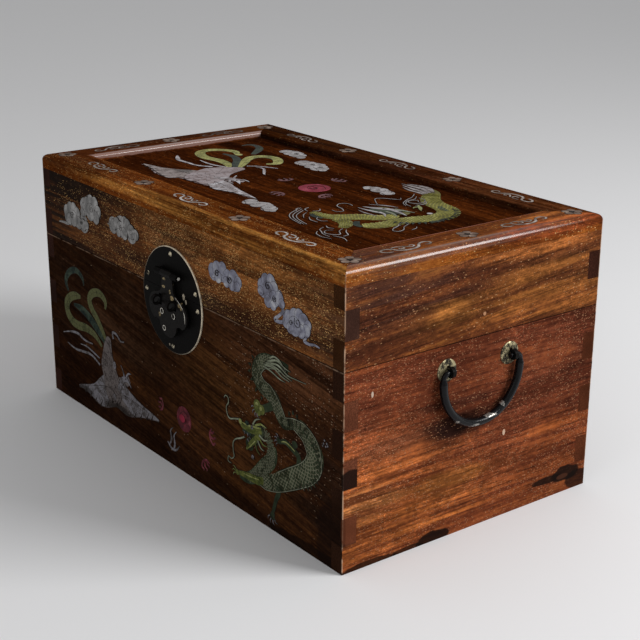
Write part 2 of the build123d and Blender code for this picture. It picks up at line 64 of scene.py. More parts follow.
def fit(tree, made, sockets):
    """Sets the sockets of a node to values, or links them."""
    for key, value in sockets.items():
        if isinstance(value, bpy.types.NodeSocket):
            tree.links.new(value, made.inputs[key])
        else:
            made.inputs[key].default_value = value


def node(tree, kind, sockets=None, **settings):
    made = tree.nodes.new(kind)
    for name, value in settings.items():
        setattr(made, name, value)
    fit(tree, made, sockets or {})
    return made


def shade(tree, kind, sockets=None, **settings):
    """Adds a shader node and gives its outputs."""
    return node(tree, "ShaderNode" + kind, sockets, **settings).outputs


def calc(tree, operation, first, second=0, third=0):
    return shade(tree, "Math", {0: first, 1: second, 2: third}, operation=operation)[0]


def times(tree, first, second, plus=None):
    """The product of two values, with a third one added where it is given."""
    if plus is None:
        return calc(tree, "MULTIPLY", first, second)
    return calc(tree, "MULTIPLY_ADD", first, second, plus)


def vector(tree, operation, first, second=(0, 0, 0)):
    made = shade(tree, "VectorMath", {0: first, 1: second}, operation=operation)
    return made["Value" if operation in ("LENGTH", "DOT_PRODUCT") else "Vector"]


def fade(tree, value, start, end, low=0, high=1):
    """A smooth change from low to high while value goes from start to end."""
    sockets = {"Value": value, "From Min": start, "From Max": end, "To Min": low, "To Max": high}
    return shade(tree, "MapRange", sockets, interpolation_type="SMOOTHSTEP")[0]


def tint(tree, share, under, over, way="MIX"):
    """Lays a colour over another; a plain colour gets its opacity here."""
    if not isinstance(over, bpy.types.NodeSocket):
        over = (*over, 1)
    sockets = {0: share, 6: under, 7: over}
    return shade(tree, "Mix", sockets, data_type="RGBA", blend_type=way)[2]


def cloudy(tree, place, scale, detail=3, roughness=0.55, distortion=0):
    return shade(tree, "TexNoise", {"Vector": place, "Scale": scale, "Detail": detail,
                                    "Roughness": roughness, "Distortion": distortion})[0]


def tones(tree, value, *stops):
    """Colours along a value from 0 to 1; a stop is (value, red, green, blue)."""
    made = node(tree, "ShaderNodeValToRGB", {0: value})
    band = made.color_ramp.elements
    while len(band) < len(stops):
        band.new(0.5)
    for stop, (at, *tone) in zip(band, stops):
        stop.position = at
        stop.color = (*tone, 1)
    return made.outputs[0]


def darker(tone, share):
    return [c * share for c in tone]


def spot(tree, place, centre, radii, rough, ragged=0.35, soft=0.1):
    """1 inside a round patch in millimetres, falling to 0 over an edge that rough breaks up."""
    moved = vector(tree, "SUBTRACT", place, [c / 1000 for c in centre])
    scaled = vector(tree, "MULTIPLY", moved, [1000 / r for r in radii])
    far = vector(tree, "LENGTH", scaled)
    uneven = times(tree, rough, ragged * 2, -ragged)
    return fade(tree, calc(tree, "ADD", far, uneven), 1 + soft, 1 - soft)


def blank(name):
    """A new finish: its material, its tree, its surface and the place on the piece."""
    made = bpy.data.materials.new(name)
    made.use_nodes = True
    tree = made.node_tree
    return made, tree, tree.nodes["Principled BSDF"], shade(tree, "TexCoord")["Object"]


def coat(tree, surface, colour, roughness, shine, height, strength, depth):
    """Ends a finish, with a relief that is depth high in metres."""
    bump = shade(tree, "Bump", {"Height": height, "Strength": strength, "Distance": depth})
    fit(tree, surface, {"Base Color": colour, "Roughness": roughness, "Normal": bump[0],
                        "Specular IOR Level": shine})


def dress(name, material):
    """Gives a solid its finish."""
    part = frame["nodes"][name]
    if not part.material_slots:
        part.data.materials.append(None)
    part.material_slots[0].material = material


def rosewood(board, name, grain, stops, dust, dust_share, ends=False, sawn=(0.03, 0.01, 0.006),
             bands=26, streaks=(), patches=(), arris=0.5, gloss=0.4, blotch=0.4, shine=0.006,
             polish=None, slant=0, figured=0.085, pore_scale=950, dusted=None):
    """Dresses a board in oiled rosewood, its grain along axis 0 or 1, its ends sawn or hidden.

    Streaks are (centre, radii, colour, strength) and run out softly along the grain.
    Patches are the same with a crisp broken edge, and polish is (centre, radii) of a glossy
    place. Slant is how far the grain leans, in degrees, and dusted is (centre, radii) of the
    place where the pale dust in the pores is thickest.
    """
    made, tree, surface, place = blank(name)
    axes = shade(tree, "SeparateXYZ", {0: place})
    lean = (math.radians(slant), 0, 0) if grain else (0, math.radians(slant), 0)
    laid = shade(tree, "Mapping", {"Vector": place, "Rotation": lean})[0]
    pull = [1, 1, 1]
    stretched = []
    for along_grain in (figured, 0.03, 0.42):
        pull[grain] = along_grain
        stretched.append(shade(tree, "Mapping", {"Vector": laid, "Scale": pull})[0])
    along, fibres, pores = stretched

    figure = cloudy(tree, along, bands, 6, 0.62, 1.1)
    fibre = cloudy(tree, fibres, 520)
    lines = cloudy(tree, fibres, 150, 3, 0.7)
    mottle = cloudy(tree, pores, 360, 3, 0.75)
    value = times(tree, fibre, 0.3, times(tree, figure, 0.52))
    value = times(tree, mottle, 0.42, times(tree, lines, 0.3, value))
    value = fade(tree, value, 0.52, 1.03)
    colour = tones(tree, value, *stops)
    for centre, radii, tone, strength in streaks:
        cover = spot(tree, place, centre, radii, figure, 1.6, 0.55)
        cover = times(tree, cover, fade(tree, lines, 0.38, 0.57, 0.18, 1))
        depth = fade(tree, value, 0.1, 0.9, 0.45, 1.75)
        fleshed = shade(tree, "VectorMath", {0: tone, "Scale": depth}, operation="SCALE")[0]
        colour = tint(tree, times(tree, cover, strength), colour, fleshed)
    stain = fade(tree, cloudy(tree, place, 9, 4), 0.62, 0.36)
    colour = tint(tree, times(tree, stain, blotch), colour, darker(stops[0][1:], 0.45))

    wander = shade(tree, "TexNoise", {"Vector": place, "Scale": 900})["Color"]
    bent = shade(tree, "VectorMath", {0: wander, 1: (0.0011,) * 3, 2: pores},
                 operation="MULTIPLY_ADD")[0]
    cells = shade(tree, "TexVoronoi", {"Vector": bent, "Scale": pore_scale})
    lucky = shade(tree, "SeparateColor", {0: cells["Color"]})[0]
    patchy = fade(tree, cloudy(tree, place, 34, 6, 0.7), 0.36, 0.66, 0.12, 1.7)
    if dusted:
        thick = fade(tree, spot(tree, place, *dusted, lines, 0.8, 0.6), 0, 1, 0.04, 1.3)
        patchy = times(tree, patchy, thick)
    chosen = fade(tree, lucky, times(tree, patchy, dust_share), 0)
    reach = times(tree, chosen, 0.24, 0.16)
    fleck = fade(tree, cells["Distance"], reach, times(tree, reach, 0.4))
    fleck = times(tree, fleck, fade(tree, chosen, 0, 0.9, 0.1, 0.85))
    colour = tint(tree, fleck, colour, dust)
    grit = cloudy(tree, pores, 1250, 2, 0.5)
    bright = times(tree, times(tree, fade(tree, grit, 0.54, 0.66), patchy), 0.55)
    open_pore = fade(tree, cloudy(tree, fibres, 800, 2), 0.44, 0.34, 0, 0.6)
    for share, filter_tone in ((bright, (2.2, 2.1, 2.3)), (open_pore, (0.3, 0.3, 0.4))):
        colour = tint(tree, share, colour, tint(tree, 1, colour, filter_tone, "MULTIPLY"))

    end_face = (half_length, half_depth)[grain] - 0.00005 if ends else 9
    past = calc(tree, "GREATER_THAN", calc(tree, "ABSOLUTE", axes[grain]), end_face)
    uneven = fade(tree, cloudy(tree, place, 22), 0.38, 0.62, 0, 0.8)
    cut = tones(tree, cloudy(tree, place, 900, 2), (0.32, *darker(sawn, 0.6)),
                (0.72, *darker(sawn, 1.5)))
    colour = tint(tree, past, colour, tint(tree, uneven, cut, darker(sawn, 0.4)))

    near_x, near_y = (fade(tree, calc(tree, "ABSOLUTE", axes[axis]), half - 0.001, half - 0.0001)
                      for axis, half in enumerate((half_length, half_depth)))
    outside = calc(tree, "MAXIMUM", near_x, near_y)
    off_seam = calc(tree, "ABSOLUTE", calc(tree, "SUBTRACT", axes[2], seam))
    closed = times(tree, fade(tree, off_seam, 0.0006, 0.0002), outside)
    colour = tint(tree, times(tree, closed, 0.8), colour, (0.008, 0.004, 0.003))
    under = calc(tree, "ABSOLUTE", calc(tree, "SUBTRACT", axes[2], seam - 0.0007))
    at_seam = times(tree, times(tree, fade(tree, under, 0.0007, 0.0003), near_y), 0.45)
    edges = calc(tree, "MAXIMUM", times(tree, near_x, near_y), at_seam)
    rubbed = times(tree, times(tree, edges, outside), arris)
    rubbed = times(tree, rubbed, fade(tree, cloudy(tree, place, 130), 0.35, 0.6))
    colour = tint(tree, rubbed, colour, (0.55, 0.36, 0.24))
    crumbly = cloudy(tree, place, 90, 4)
    for centre, radii, tone, strength in patches:
        cover = times(tree, spot(tree, place, centre, radii, crumbly), strength)
        colour = tint(tree, cover, colour, tone)

    roughness = times(tree, fleck, 0.2, times(tree, fibre, 0.16, gloss - 0.08))
    if polish:
        fit(tree, surface, {"Coat Weight": spot(tree, place, *polish, lines, 0.4, 0.4),
                            "Coat Roughness": 0.2})
    height = times(tree, fleck, -0.7, times(tree, fibre, 0.35, times(tree, lines, 0.3)))
    coat(tree, surface, colour, roughness, shine, height, 0.28, 0.0004)
    dress(board, made)


def marks_on(axis, level, *rows):
    """Streaks or patches on a flat face across one axis.

    A row is a place and its radii along the two other axes, a colour and a strength.
    """
    marks = []
    for first, second, wide, high, tone, strength in rows:
        centre, radii = [first, second], [wide, high]
        centre.insert(axis, level)
        radii.insert(axis, 3)
        marks.append((centre, radii, tone, strength))
    return marks


front, right_end = -120, 212    # where the two outer faces lie, in millimetres
half_length, half_depth = right_end / 1000, -front / 1000
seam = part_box("front_board")[1][2]
# Tones darker than the end boards', in part as painted shade on the front face.
front_stops = (
    (0, 0.011, 0.0042, 0.0022), (0.45, 0.028, 0.0105, 0.0046), (0.78, 0.055, 0.0205, 0.0075),
    (1, 0.105, 0.04, 0.012))
# Streaks of grain tone; the dark ones towards the left end are painted shade.
front_grain_and_painted_shade = marks_on(
    1, front, (150, 128, 80, 26, (0.085, 0.034, 0.015), 0.7),
    (70, 95, 60, 30, (0.075, 0.031, 0.01), 0.65), (95, 45, 60, 20, (0.06, 0.024, 0.008), 0.5),
    (195, 70, 36, 50, (0.014, 0.0075, 0.005), 0.7), (0, 40, 90, 30, (0.045, 0.018, 0.008), 0.35),
    (-120, 100, 100, 45, (0.03, 0.015, 0.008), 0.55),
    (-80, 102, 60, 38, (0.046, 0.0215, 0.011), 0.6),
    (-200, 60, 60, 70, (0.01, 0.0045, 0.003), 0.7), (-40, 6, 220, 14, (0.012, 0.006, 0.004), 0.6))
front_patches = (
    ((205, -120, 20), (22, 3, 30), (0.009, 0.005, 0.004), 0.6),
    ((190, -120, 2), (60, 4, 6), (0.008, 0.005, 0.004), 0.75),
    ((212, -114, 69.5), (2, 11, 8), (0.01, 0.006, 0.005), 0.92),
    ((212, -114, 35), (2, 14, 13), (0.15, 0.043, 0.019), 0.35))
rosewood(
    "front_board", "rosewood_front", 0, front_stops, (0.32, 0.22, 0.14), 0.35, True,
    (0.12, 0.039, 0.02), 24, front_grain_and_painted_shade, front_patches, shine=0, slant=-8,
    dusted=((165, -120, 112), (85, 6, 65)))

# End boards of the body. Redder rosewood, its grain running across the end; pale dust in the
# pores, black worn patches along the bottom edge, and a dark halo about the bail that is
# partly rubbed wear and partly painted shadow of the bail.

end_stops = (
    (0, 0.055, 0.013, 0.0065), (0.4, 0.115, 0.029, 0.0125), (0.72, 0.2, 0.052, 0.018),
    (1, 0.34, 0.1, 0.029))
black = (0.008, 0.005, 0.004)
# Streaks of figure; the dark ones below and left of the bail and right of its rear rosette are the
# halo, partly rubbed wear and partly painted shadow of the bail.
end_grain_and_bail_shadow = marks_on(
    0, right_end, (-85, 45, 80, 44, (0.4, 0.115, 0.03), 0.85),
    (0, 30, 150, 26, (0.28, 0.076, 0.02), 0.5), (-70, 22, 75, 12, (0.46, 0.145, 0.032), 0.6),
    (-95, 98, 40, 16, (0.25, 0.066, 0.022), 0.7), (85, 58, 50, 9, (0.32, 0.086, 0.02), 0.5),
    (50, 92, 60, 22, (0.085, 0.023, 0.011), 0.75), (20, 50, 50, 20, (0.115, 0.031, 0.013), 0.65),
    (-100, 118, 16, 16, (0.07, 0.025, 0.016), 0.6), (0, 128, 150, 22, (0.095, 0.026, 0.013), 0.7),
    (112, 110, 16, 60, (0.065, 0.018, 0.009), 0.7), (-20, 94, 44, 17, (0.04, 0.013, 0.008), 0.85),
    (-24, 82, 26, 11, (0.012, 0.0055, 0.004), 1), (-102, 47, 22, 10, (0.45, 0.175, 0.055), 0.8),
    (-80, 85, 26, 9, (0.11, 0.036, 0.017), 0.75), (40, 120, 20, 10, (0.045, 0.016, 0.009), 0.85),
    (-22, 44, 22, 7, (0.4, 0.14, 0.034), 0.7))
end_patches = marks_on(
    0, right_end, (98, 15, 15, 6.5, black, 0.93), (79, 14.5, 17, 2.8, black, 0.9),
    (112, 7, 14, 7.5, black, 0.85), (95, 13, 6, 2.2, (0.06, 0.022, 0.012), 0.7),
    (-37, 2, 15, 6, black, 0.93), (-60, 0, 14, 3.5, black, 0.85), (-98, 0, 25, 4.5, black, 0.9))
end_patches += [
    ((212, 29, 67.5), (2, 1.3, 2.4), (0.5, 0.36, 0.26), 0.9),
    ((212, -96, 127.5), (2, 1, 2.2), (0.48, 0.38, 0.3), 0.9)]
rosewood(
    "right_board", "rosewood_right_end", 1, end_stops, (0.33, 0.165, 0.085), 0.75, True,
    (0.024, 0.0095, 0.0048), 26, end_grain_and_bail_shadow, end_patches, arris=0.8, blotch=0.45, figured=0.13,
    pore_scale=1200)
rosewood(
    "left_board", "rosewood_left_end", 1, end_stops, (0.34, 0.18, 0.09), 0.5, True, figured=0.13)

# Rear board and bottom board. Plainer rosewood of the same stock; the rear takes the hinges,
# and the bottom is let into a rebate and left dull underneath.

rear_stops = (
    (0, 0.024, 0.0075, 0.0035), (0.5, 0.062, 0.0185, 0.0065), (0.8, 0.115, 0.035, 0.01),
    (1, 0.18, 0.06, 0.015))
rosewood(
    "rear_board", "rosewood_rear", 0, rear_stops, (0.42, 0.26, 0.12), 0.35, True,
    (0.085, 0.024, 0.01))
rosewood(
    "bottom_board", "rosewood_bottom", 0, rear_stops, (0.3, 0.2, 0.11), 0.12, arris=0, gloss=0.62)

# Walls of the lid. The same finger joints; the front wall has a golden band painted along its
# upper half as a sheen, where the golden dust in its pores is also laid thickest, and its left
# end is painted darker as shade; the right wall shows the bright figured sapwood of a
# quarter-sawn board.

lid_front_stops = (
    (0, 0.036, 0.0115, 0.0045), (0.4, 0.092, 0.031, 0.0095), (0.72, 0.175, 0.06, 0.016),
    (1, 0.3, 0.113, 0.028))
# The golden bands under the top edge are painted sheen and the dark streaks at the left end are
# painted shade; the rest darken the wood round the lock plate, above the seam and at the right
# end.
lid_front_painted_sheen_and_shade = marks_on(
    1, front, (90, 194, 120, 22, (0.42, 0.15, 0.038), 0.85),
    (75, 199, 90, 9, (0.44, 0.165, 0.04), 0.8), (140, 174, 60, 12, (0.25, 0.098, 0.028), 0.6),
    (10, 157, 180, 15, (0.034, 0.0135, 0.0065), 0.85),
    (-110, 180, 80, 70, (0.045, 0.018, 0.008), 0.6),
    (-215, 180, 115, 90, (0.016, 0.0075, 0.004), 0.95),
    (-200, 175, 50, 60, (0.01, 0.006, 0.004), 0.9),
    (-60, 158, 75, 12, (0.014, 0.007, 0.0045), 0.85),
    (215, 180, 42, 60, (0.048, 0.0225, 0.012), 0.85), (6, 180, 34, 14, (0.05, 0.027, 0.014), 0.8),
    (48, 159, 20, 9, (0.036, 0.018, 0.0095), 0.8))
rosewood(
    "lid_front_board", "rosewood_lid_front", 0, lid_front_stops, (0.66, 0.4, 0.15), 1.5, True,
    (0.066, 0.029, 0.02), 24, lid_front_painted_sheen_and_shade, pore_scale=1300,
    dusted=((60, -120, 186), (200, 6, 50)))
lid_end_stops = (
    (0, 0.036, 0.0105, 0.006), (0.38, 0.085, 0.0245, 0.01), (0.66, 0.165, 0.05, 0.015),
    (1, 0.31, 0.112, 0.026))
lid_end_streaks = marks_on(
    0, right_end, (-70, 190, 90, 26, (0.036, 0.0125, 0.0075), 0.95),
    (-85, 196, 55, 20, (0.04, 0.017, 0.0115), 0.95),
    (-92, 199, 45, 12, (0.032, 0.012, 0.0075), 0.9),
    (-112, 179, 30, 15, (0.026, 0.01, 0.0065), 0.85), (30, 171, 85, 9, (0.2, 0.072, 0.0165), 0.8),
    (80, 183, 60, 13, (0.22, 0.078, 0.019), 0.85), (-26, 170, 18, 7, (0.4, 0.15, 0.034), 0.75),
    (-106, 192, 20, 12, (0.026, 0.01, 0.0065), 0.8), (50, 203, 60, 5, (0.32, 0.105, 0.026), 0.75),
    (60, 176, 60, 2.5, (0.04, 0.013, 0.0075), 0.75),
    (-20, 165, 50, 2.5, (0.045, 0.0145, 0.0085), 0.6),
    (65, 194, 60, 3, (0.055, 0.017, 0.0085), 0.7), (60, 157, 85, 6, (0.34, 0.115, 0.027), 0.7))
lid_end_patches = (((212, 4, 164), (2, 1.4, 1.4), (0.42, 0.22, 0.12), 0.8),)
rosewood(
    "lid_right_board", "rosewood_lid_right", 1, lid_end_stops, (0.38, 0.21, 0.1), 0.2, True,
    (0.05, 0.0185, 0.0062), 34, lid_end_streaks, lid_end_patches, arris=0.8, slant=-4.5,
    figured=0.11)
rosewood(
    "lid_left_board", "rosewood_lid_left", 1, lid_end_stops, (0.46, 0.3, 0.15), 0.2, True,
    bands=30)
rosewood("lid_rear_board", "rosewood_lid_rear", 0, rear_stops, (0.42, 0.26, 0.12), 0.18, True)

# Mitred frame of the lid. Orange-brown members with the grain along each, a well polished
# round-over outside, and a small round along the sunk panel with pale lines painted on it as
# highlights. A golden sheen is painted along the front member's outer edge, and the left
# member, the left end of the front member and the rear member are painted darker as shade.

frame_stops = (
    (0, 0.042, 0.01, 0.003), (0.36, 0.105, 0.0255, 0.0052), (0.68, 0.19, 0.053, 0.0088),
    (1, 0.32, 0.108, 0.019))
# A golden sheen painted along the outer edge of the front member, and painted shade over its left
# end.
front_frame_painted_sheen_and_shade = (
    ((80, -119, 216), (190, 5, 7), (0.52, 0.23, 0.05), 0.75),
    ((-190, -112, 218), (70, 16, 8), (0.04, 0.016, 0.008), 0.75))
red_edge = (
    ((206, 70, 217), (9, 60, 9), (0.3, 0.06, 0.024), 0.65),
    ((194, 85, 218), (14, 34, 4), (0.34, 0.11, 0.024), 0.7),
    ((194, -98, 218), (20, 30, 5), (0.05, 0.017, 0.009), 0.8),
    ((196, -85, 218), (22, 34, 6), (0.042, 0.015, 0.009), 0.95),
    ((212, -88, 211), (4, 50, 8), (0.045, 0.018, 0.011), 1))
# A pale pink line painted as a highlight along the inner round of the right member.
right_inner_painted_highlight = (((180.4, -10, 217), (1.5, 120, 3), (0.4, 0.15, 0.105), 0.85),)
# Painted shade over the left member.
left_painted_shade = (((-202, 0, 218), (14, 160, 30), (0.036, 0.014, 0.0075), 0.9),)
# A pale band painted as a highlight along the inner face of the left member.
left_inner_painted_highlight = (((-180, 10, 217.2), (5, 150, 3.4), (0.27, 0.155, 0.125), 0.95),)
rosewood(
    "lid_frame_front", "rosewood_frame_front", 0, frame_stops, (0.58, 0.36, 0.13), 0.9,
    streaks=front_frame_painted_sheen_and_shade, shine=0, pore_scale=1250)
# Painted shade over the rear member, darkest at its left and lighter to the right; its tones below
# are a darker copy of the other members' as painted shade.
rear_painted_shade = (
    ((-150, 103, 218), (190, 40, 40), (0.015, 0.0055, 0.0028), 0.95),
    ((30, 103, 218), (90, 40, 40), (0.055, 0.0165, 0.007), 0.6),
    ((170, 103, 218), (80, 40, 40), (0.11, 0.036, 0.013), 0.75))
rear_frame_stops_in_painted_shade = [(at, *darker(tone, 0.42)) for at, *tone in frame_stops]
rosewood(
    "lid_frame_rear", "rosewood_frame_rear", 0, rear_frame_stops_in_painted_shade, (0.2, 0.12, 0.05), 0.25,
    streaks=rear_painted_shade, shine=0)
rosewood(
    "lid_frame_right", "rosewood_frame_right", 1, frame_stops, (0.5, 0.3, 0.12), 0.3,
    streaks=red_edge, patches=right_inner_painted_highlight, gloss=0.5, polish=((210, -35, 217.2), (6, 110, 4.5)))
rosewood(
    "lid_frame_left", "rosewood_frame_left", 1, frame_stops, (0.42, 0.26, 0.12), 0.2,
    streaks=left_painted_shade, patches=left_inner_painted_highlight, gloss=0.5, shine=0,
    polish=((-180, 20, 216), (5, 110, 5)))

# Floating panel of the lid. The darkest board, fine grained and oiled, loose in the grooves
# of the frame and sunk below it.

panel_stops = (
    (0, 0.015, 0.0034, 0.0009), (0.44, 0.038, 0.009, 0.002), (0.74, 0.082, 0.0195, 0.0036),
    (1, 0.155, 0.04, 0.007))
# The first streak is painted shade over the left end of the panel; the second is a warmer streak
# of grain.
panel_grain_and_painted_shade = (
    ((-185, 60, 209), (75, 70, 4), (0.01, 0.0036, 0.0018), 0.8),
    ((80, -50, 209), (60, 20, 4), (0.085, 0.024, 0.007), 0.5))
rosewood(
    "lid_panel", "rosewood_lid_panel", 0, panel_stops, (0.2, 0.11, 0.05), 0.1, bands=22,
    streaks=panel_grain_and_painted_shade, gloss=0.46, blotch=0.3, shine=0)

# Clouds on the lid front. Sawn mother of pearl set into the wood in a dark line of glue,
# built up of round lobes with a tail, and engraved with small spirals.


def nacre(name, *stops, gloss=0.28, streaks=0, left_stops=None, shine=0.05, darkened=()):
    """Polished shell or stone with drifting tints, and other tints left of the middle.

    Darkened is a row of (centre, radii, strength) for places where the shell is painted darker.
    """
    made, tree, surface, place = blank(name)
    drift = cloudy(tree, place, 85, 4, 0.5, 1.4)
    fine = cloudy(tree, place, 600, 2)
    value = times(tree, fine, 0.14 + streaks, times(tree, drift, 0.9))
    value = fade(tree, value, 0.3, 0.85)
    colour = tones(tree, value, *stops)
    if left_stops:
        left = fade(tree, shade(tree, "SeparateXYZ", {0: place})[0], 0.001, -0.001)
        colour = tint(tree, left, colour, tones(tree, value, *left_stops))
    for centre, radii, strength in darkened:
        cover = times(tree, spot(tree, place, centre, radii, fine, 0.5, 0.35), strength)
        colour = tint(tree, cover, colour, (0.01, 0.006, 0.0035))
    coat(tree, surface, colour, gloss, shine, fine, 0.15, 0.0002)
    return made


def flow(points, closed=False, steps=5):
    """A smooth line through listed points, given as (x, y) or (x, y, width)."""
    rows = [Vector(p) for p in points]
    count = len(rows)
    spans = count if closed else count - 1
    line = []
    for i in range(spans):
        a, b, c, d = (rows[(i + k) % count] if closed else rows[min(max(i + k, 0), count - 1)]
                      for k in (-1, 0, 1, 2))
        for s in range(steps):
            t = s / steps
            line.append(0.5 * (2 * b + (c - a) * t + (2 * a - 5 * b + 4 * c - d) * t * t
                               + (3 * b - a - 3 * c + d) * t ** 3))
    return line if closed else line + [rows[-1]]


def on_front(x, y, rise):
    return Vector((x, front - rise, y)) / 1000


def saw_band(sheet, place, points, low, high, grow, finish):
    """A strip of shell along a line; its edges slope a little."""
    line = flow([(p[0], p[1], p[2] + 2 * grow) for p in points])
    rows = []
    for i, here in enumerate(line):
        run = line[min(i + 1, len(line) - 1)] - line[max(i - 1, 0)]
        side = Vector((-run.y, run.x)).normalized()
        half = max(here.z, 0.05) / 2
        brow = max(half - 0.12, half * 0.5)
        rows.append([sheet.verts.new(place(here.x + side.x * o, here.y + side.y * o, h))
                     for o, h in ((half, low), (brow, high), (-brow, high), (-half, low))])
    for first, then in zip(rows, rows[1:]):
        for k in range(3):
            sheet.faces.new((first[k + 1], then[k + 1], then[k], first[k])).material_index = finish
    sheet.faces.new(rows[0]).material_index = finish
    sheet.faces.new(list(reversed(rows[-1]))).material_index = finish


def saw_leaf(sheet, place, outline, low, high, grow, finish):
    """A flat plate of shell with a closed outline."""
    area = sum(a.x * b.y - b.x * a.y for a, b in zip(outline, outline[1:] + outline[:1]))
    if area < 0:
        outline = list(reversed(outline))
    rings = []
    for offset, height in ((grow + 0.1, low), (grow, high)):
        ring = []
        for i, here in enumerate(outline):
            run = outline[(i + 1) % len(outline)] - outline[i - 1]
            out = Vector((run.y, -run.x)).normalized() * offset
            ring.append(sheet.verts.new(place(here.x + out.x, here.y + out.y, height)))
        rings.append(ring)
    count = len(outline)
    for i in range(count):
        j = (i + 1) % count
        side = sheet.faces.new((rings[0][i], rings[0][j], rings[1][j], rings[1][i]))
        side.material_index = finish
    top = sheet.faces.new(rings[1])
    top.material_index = finish
    bmesh.ops.triangulate(sheet, faces=[top])


def turned(x, y, turn, points, size=1, wider=1):
    """Points or (x, y, width) rows of a drawing, scaled, turned and laid round (x, y)."""
    c, s = math.cos(turn), math.sin(turn)
    return [(x + size * (u * c - v * s), y + size * (u * s + v * c), *[w * wider for w in width])
            for u, v, *width in points]


def lobe(x, y, radius, flat=1, turn=0):
    """A round or oval outline."""
    angles = [2 * math.pi * k / 22 for k in range(22)]
    oval = [(radius * math.cos(a), radius * flat * math.sin(a)) for a in angles]
    return [Vector(point) for point in turned(x, y, turn, oval)]


def band(finish, *points):
    return (saw_band, points, finish)


def disc(finish, *oval):
    return (saw_leaf, lobe(*oval), finish)


def stand(name, data):
    """Puts a new piece, lamp or camera into the scene."""
    made = bpy.data.objects.new(name, data)
    bpy.context.scene.collection.objects.link(made)
    return made


def inlay(name, place, shapes, finishes, body, first=0.05, step=0.012, glue=0.22):
    """Pieces of shell laid in order, each with a dark line of glue round it.

    A shape is (saw, points, finish). Finish 0 is the glue, and also an engraved line, which
    has none round it.
    """
    sheet = bmesh.new()
    for i, (saw, points, finish) in enumerate(shapes):
        high = first + step * i
        if finish:
            saw(sheet, place, points, -0.2, high - step / 2, glue, 0)
        saw(sheet, place, points, -0.2, high, 0, finish)
    mesh = bpy.data.meshes.new(name)
    sheet.to_mesh(mesh)
    sheet.free()
    for finish in (glue_line, *finishes):
        mesh.materials.append(finish)
    piece = stand(name, mesh)
    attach(piece, body)


def off(x, y, reach, angle):
    """The point at a distance and an angle from another."""
    return x + reach * math.cos(angle), y + reach * math.sin(angle)


def spiral(x, y, radius, start=0, turns=1.4, width=0.32):
    """An engraved curl."""
    shares = [k / 8 for k in range(9)]
    return band(0, *[(*off(x, y, radius * (1 - 0.8 * k), start + 2 * math.pi * turns * k), width)
                     for k in shares])


glue_line = nacre("dark_glue", (0, 0.012, 0.008, 0.007), (1, 0.035, 0.022, 0.016), gloss=0.6)
warm_stops = (
    (0, 0.12, 0.118, 0.115), (0.4, 0.225, 0.218, 0.213), (0.7, 0.33, 0.322, 0.315),
    (1, 0.52, 0.52, 0.52))
lid_shell = nacre(
    "lilac_shell", (0, 0.11, 0.105, 0.13), (0.35, 0.21, 0.212, 0.27), (0.65, 0.31, 0.315, 0.36),
    (1, 0.56, 0.56, 0.57), left_stops=warm_stops)
warm_shell = nacre("warm_shell", *warm_stops)
dress("lid_front_clouds", lid_shell)
right_clouds = [
    (57, 179.5, 5.5), (63, 182, 6), (70, 184, 5), (64, 176, 4.5), (77, 179, 6), (84, 180.5, 6),
    (90, 178.5, 4.5), (75, 175, 4), (82, 174.5, 4.2), (89, 175, 3.6), (120, 184, 5.5),
    (124, 189, 5), (130, 190, 5), (134, 186, 4.5), (118, 180, 3.5), (127, 183, 6), (134, 178, 6),
    (140, 180, 5), (143, 177, 3.5), (127, 174.5, 4.5), (133, 173, 3.5), (148, 165, 4),
    (152, 169, 6), (158, 172, 6), (163, 174, 5), (168, 171.5, 5.5), (173, 170, 3.6),
    (171, 165.5, 4.5), (153, 162.5, 4), (165, 163.5, 5), (158, 165, 7)]
left_clouds = [
    (-169, 176, 6), (-163, 180, 5.5), (-157, 181, 5), (-151, 178, 5), (-166, 170, 5),
    (-149, 170, 5.5), (-141, 170, 5), (-135, 171, 3.6), (-158, 172, 7), (-138, 184, 5.5),
    (-132, 190, 6), (-126, 194, 5), (-119, 193, 5.5), (-114, 187, 5), (-118, 181, 5.5),
    (-141, 181, 3.5), (-127, 184, 7.5), (-88, 182, 4.5), (-83, 184, 5), (-77, 181, 6),
    (-70, 188, 4.5), (-66, 186, 5.5), (-53, 181, 4.5), (-71, 178, 5), (-80, 177, 3.5),
    (-60, 182, 6)]
shapes = [
    band(1, (142, 178, 4), (144, 172, 3), (139.5, 167.5, 2.6), (134.5, 163.6, 3), (139, 163, 2.8),
         (146, 164.5, 3)),
    band(1, (172, 167, 4), (171, 161.5, 2.6), (168.5, 157.6, 2.8), (174, 156.8, 2.2),
         (180, 158, 1.8), (185.5, 157.5, 1.2)),
    band(2, (-163, 168, 4), (-170, 165, 3), (-178, 164.6, 2.2), (-186, 163.5, 1)),
    band(2, (-87, 181, 3.4), (-93, 180, 2.4), (-99, 180.5, 0.8))]
shapes += [disc(1, *at) for at in right_clouds] + [disc(2, *at) for at in left_clouds]
curls = [
    (63, 178.5, 3, 0.5), (79.5, 178, 3.4, 2.6), (127, 185.5, 3.2, 1), (135, 178.2, 2.6, 2),
    (161.5, 168.5, 4.2, 2.4), (154, 166.5, 2.2), (-160, 174, 3.6, 0.4), (-125, 187, 3.6, 2),
    (-76, 181.5, 2.8, 1), (-60, 182, 3, 2.2), (-144, 171, 2.2)]
shapes += [spiral(*at) for at in curls]
inlay("lid_cloud_lobes", on_front, shapes, [lid_shell, warm_shell], "lid")

# Clouds on the lid panel. The same sawn shell, paler, laid on the dark board, which lies
# five millimetres below the frame.


def on_panel(x, y, rise):
    return Vector((x, y, panel_top + rise)) / 1000


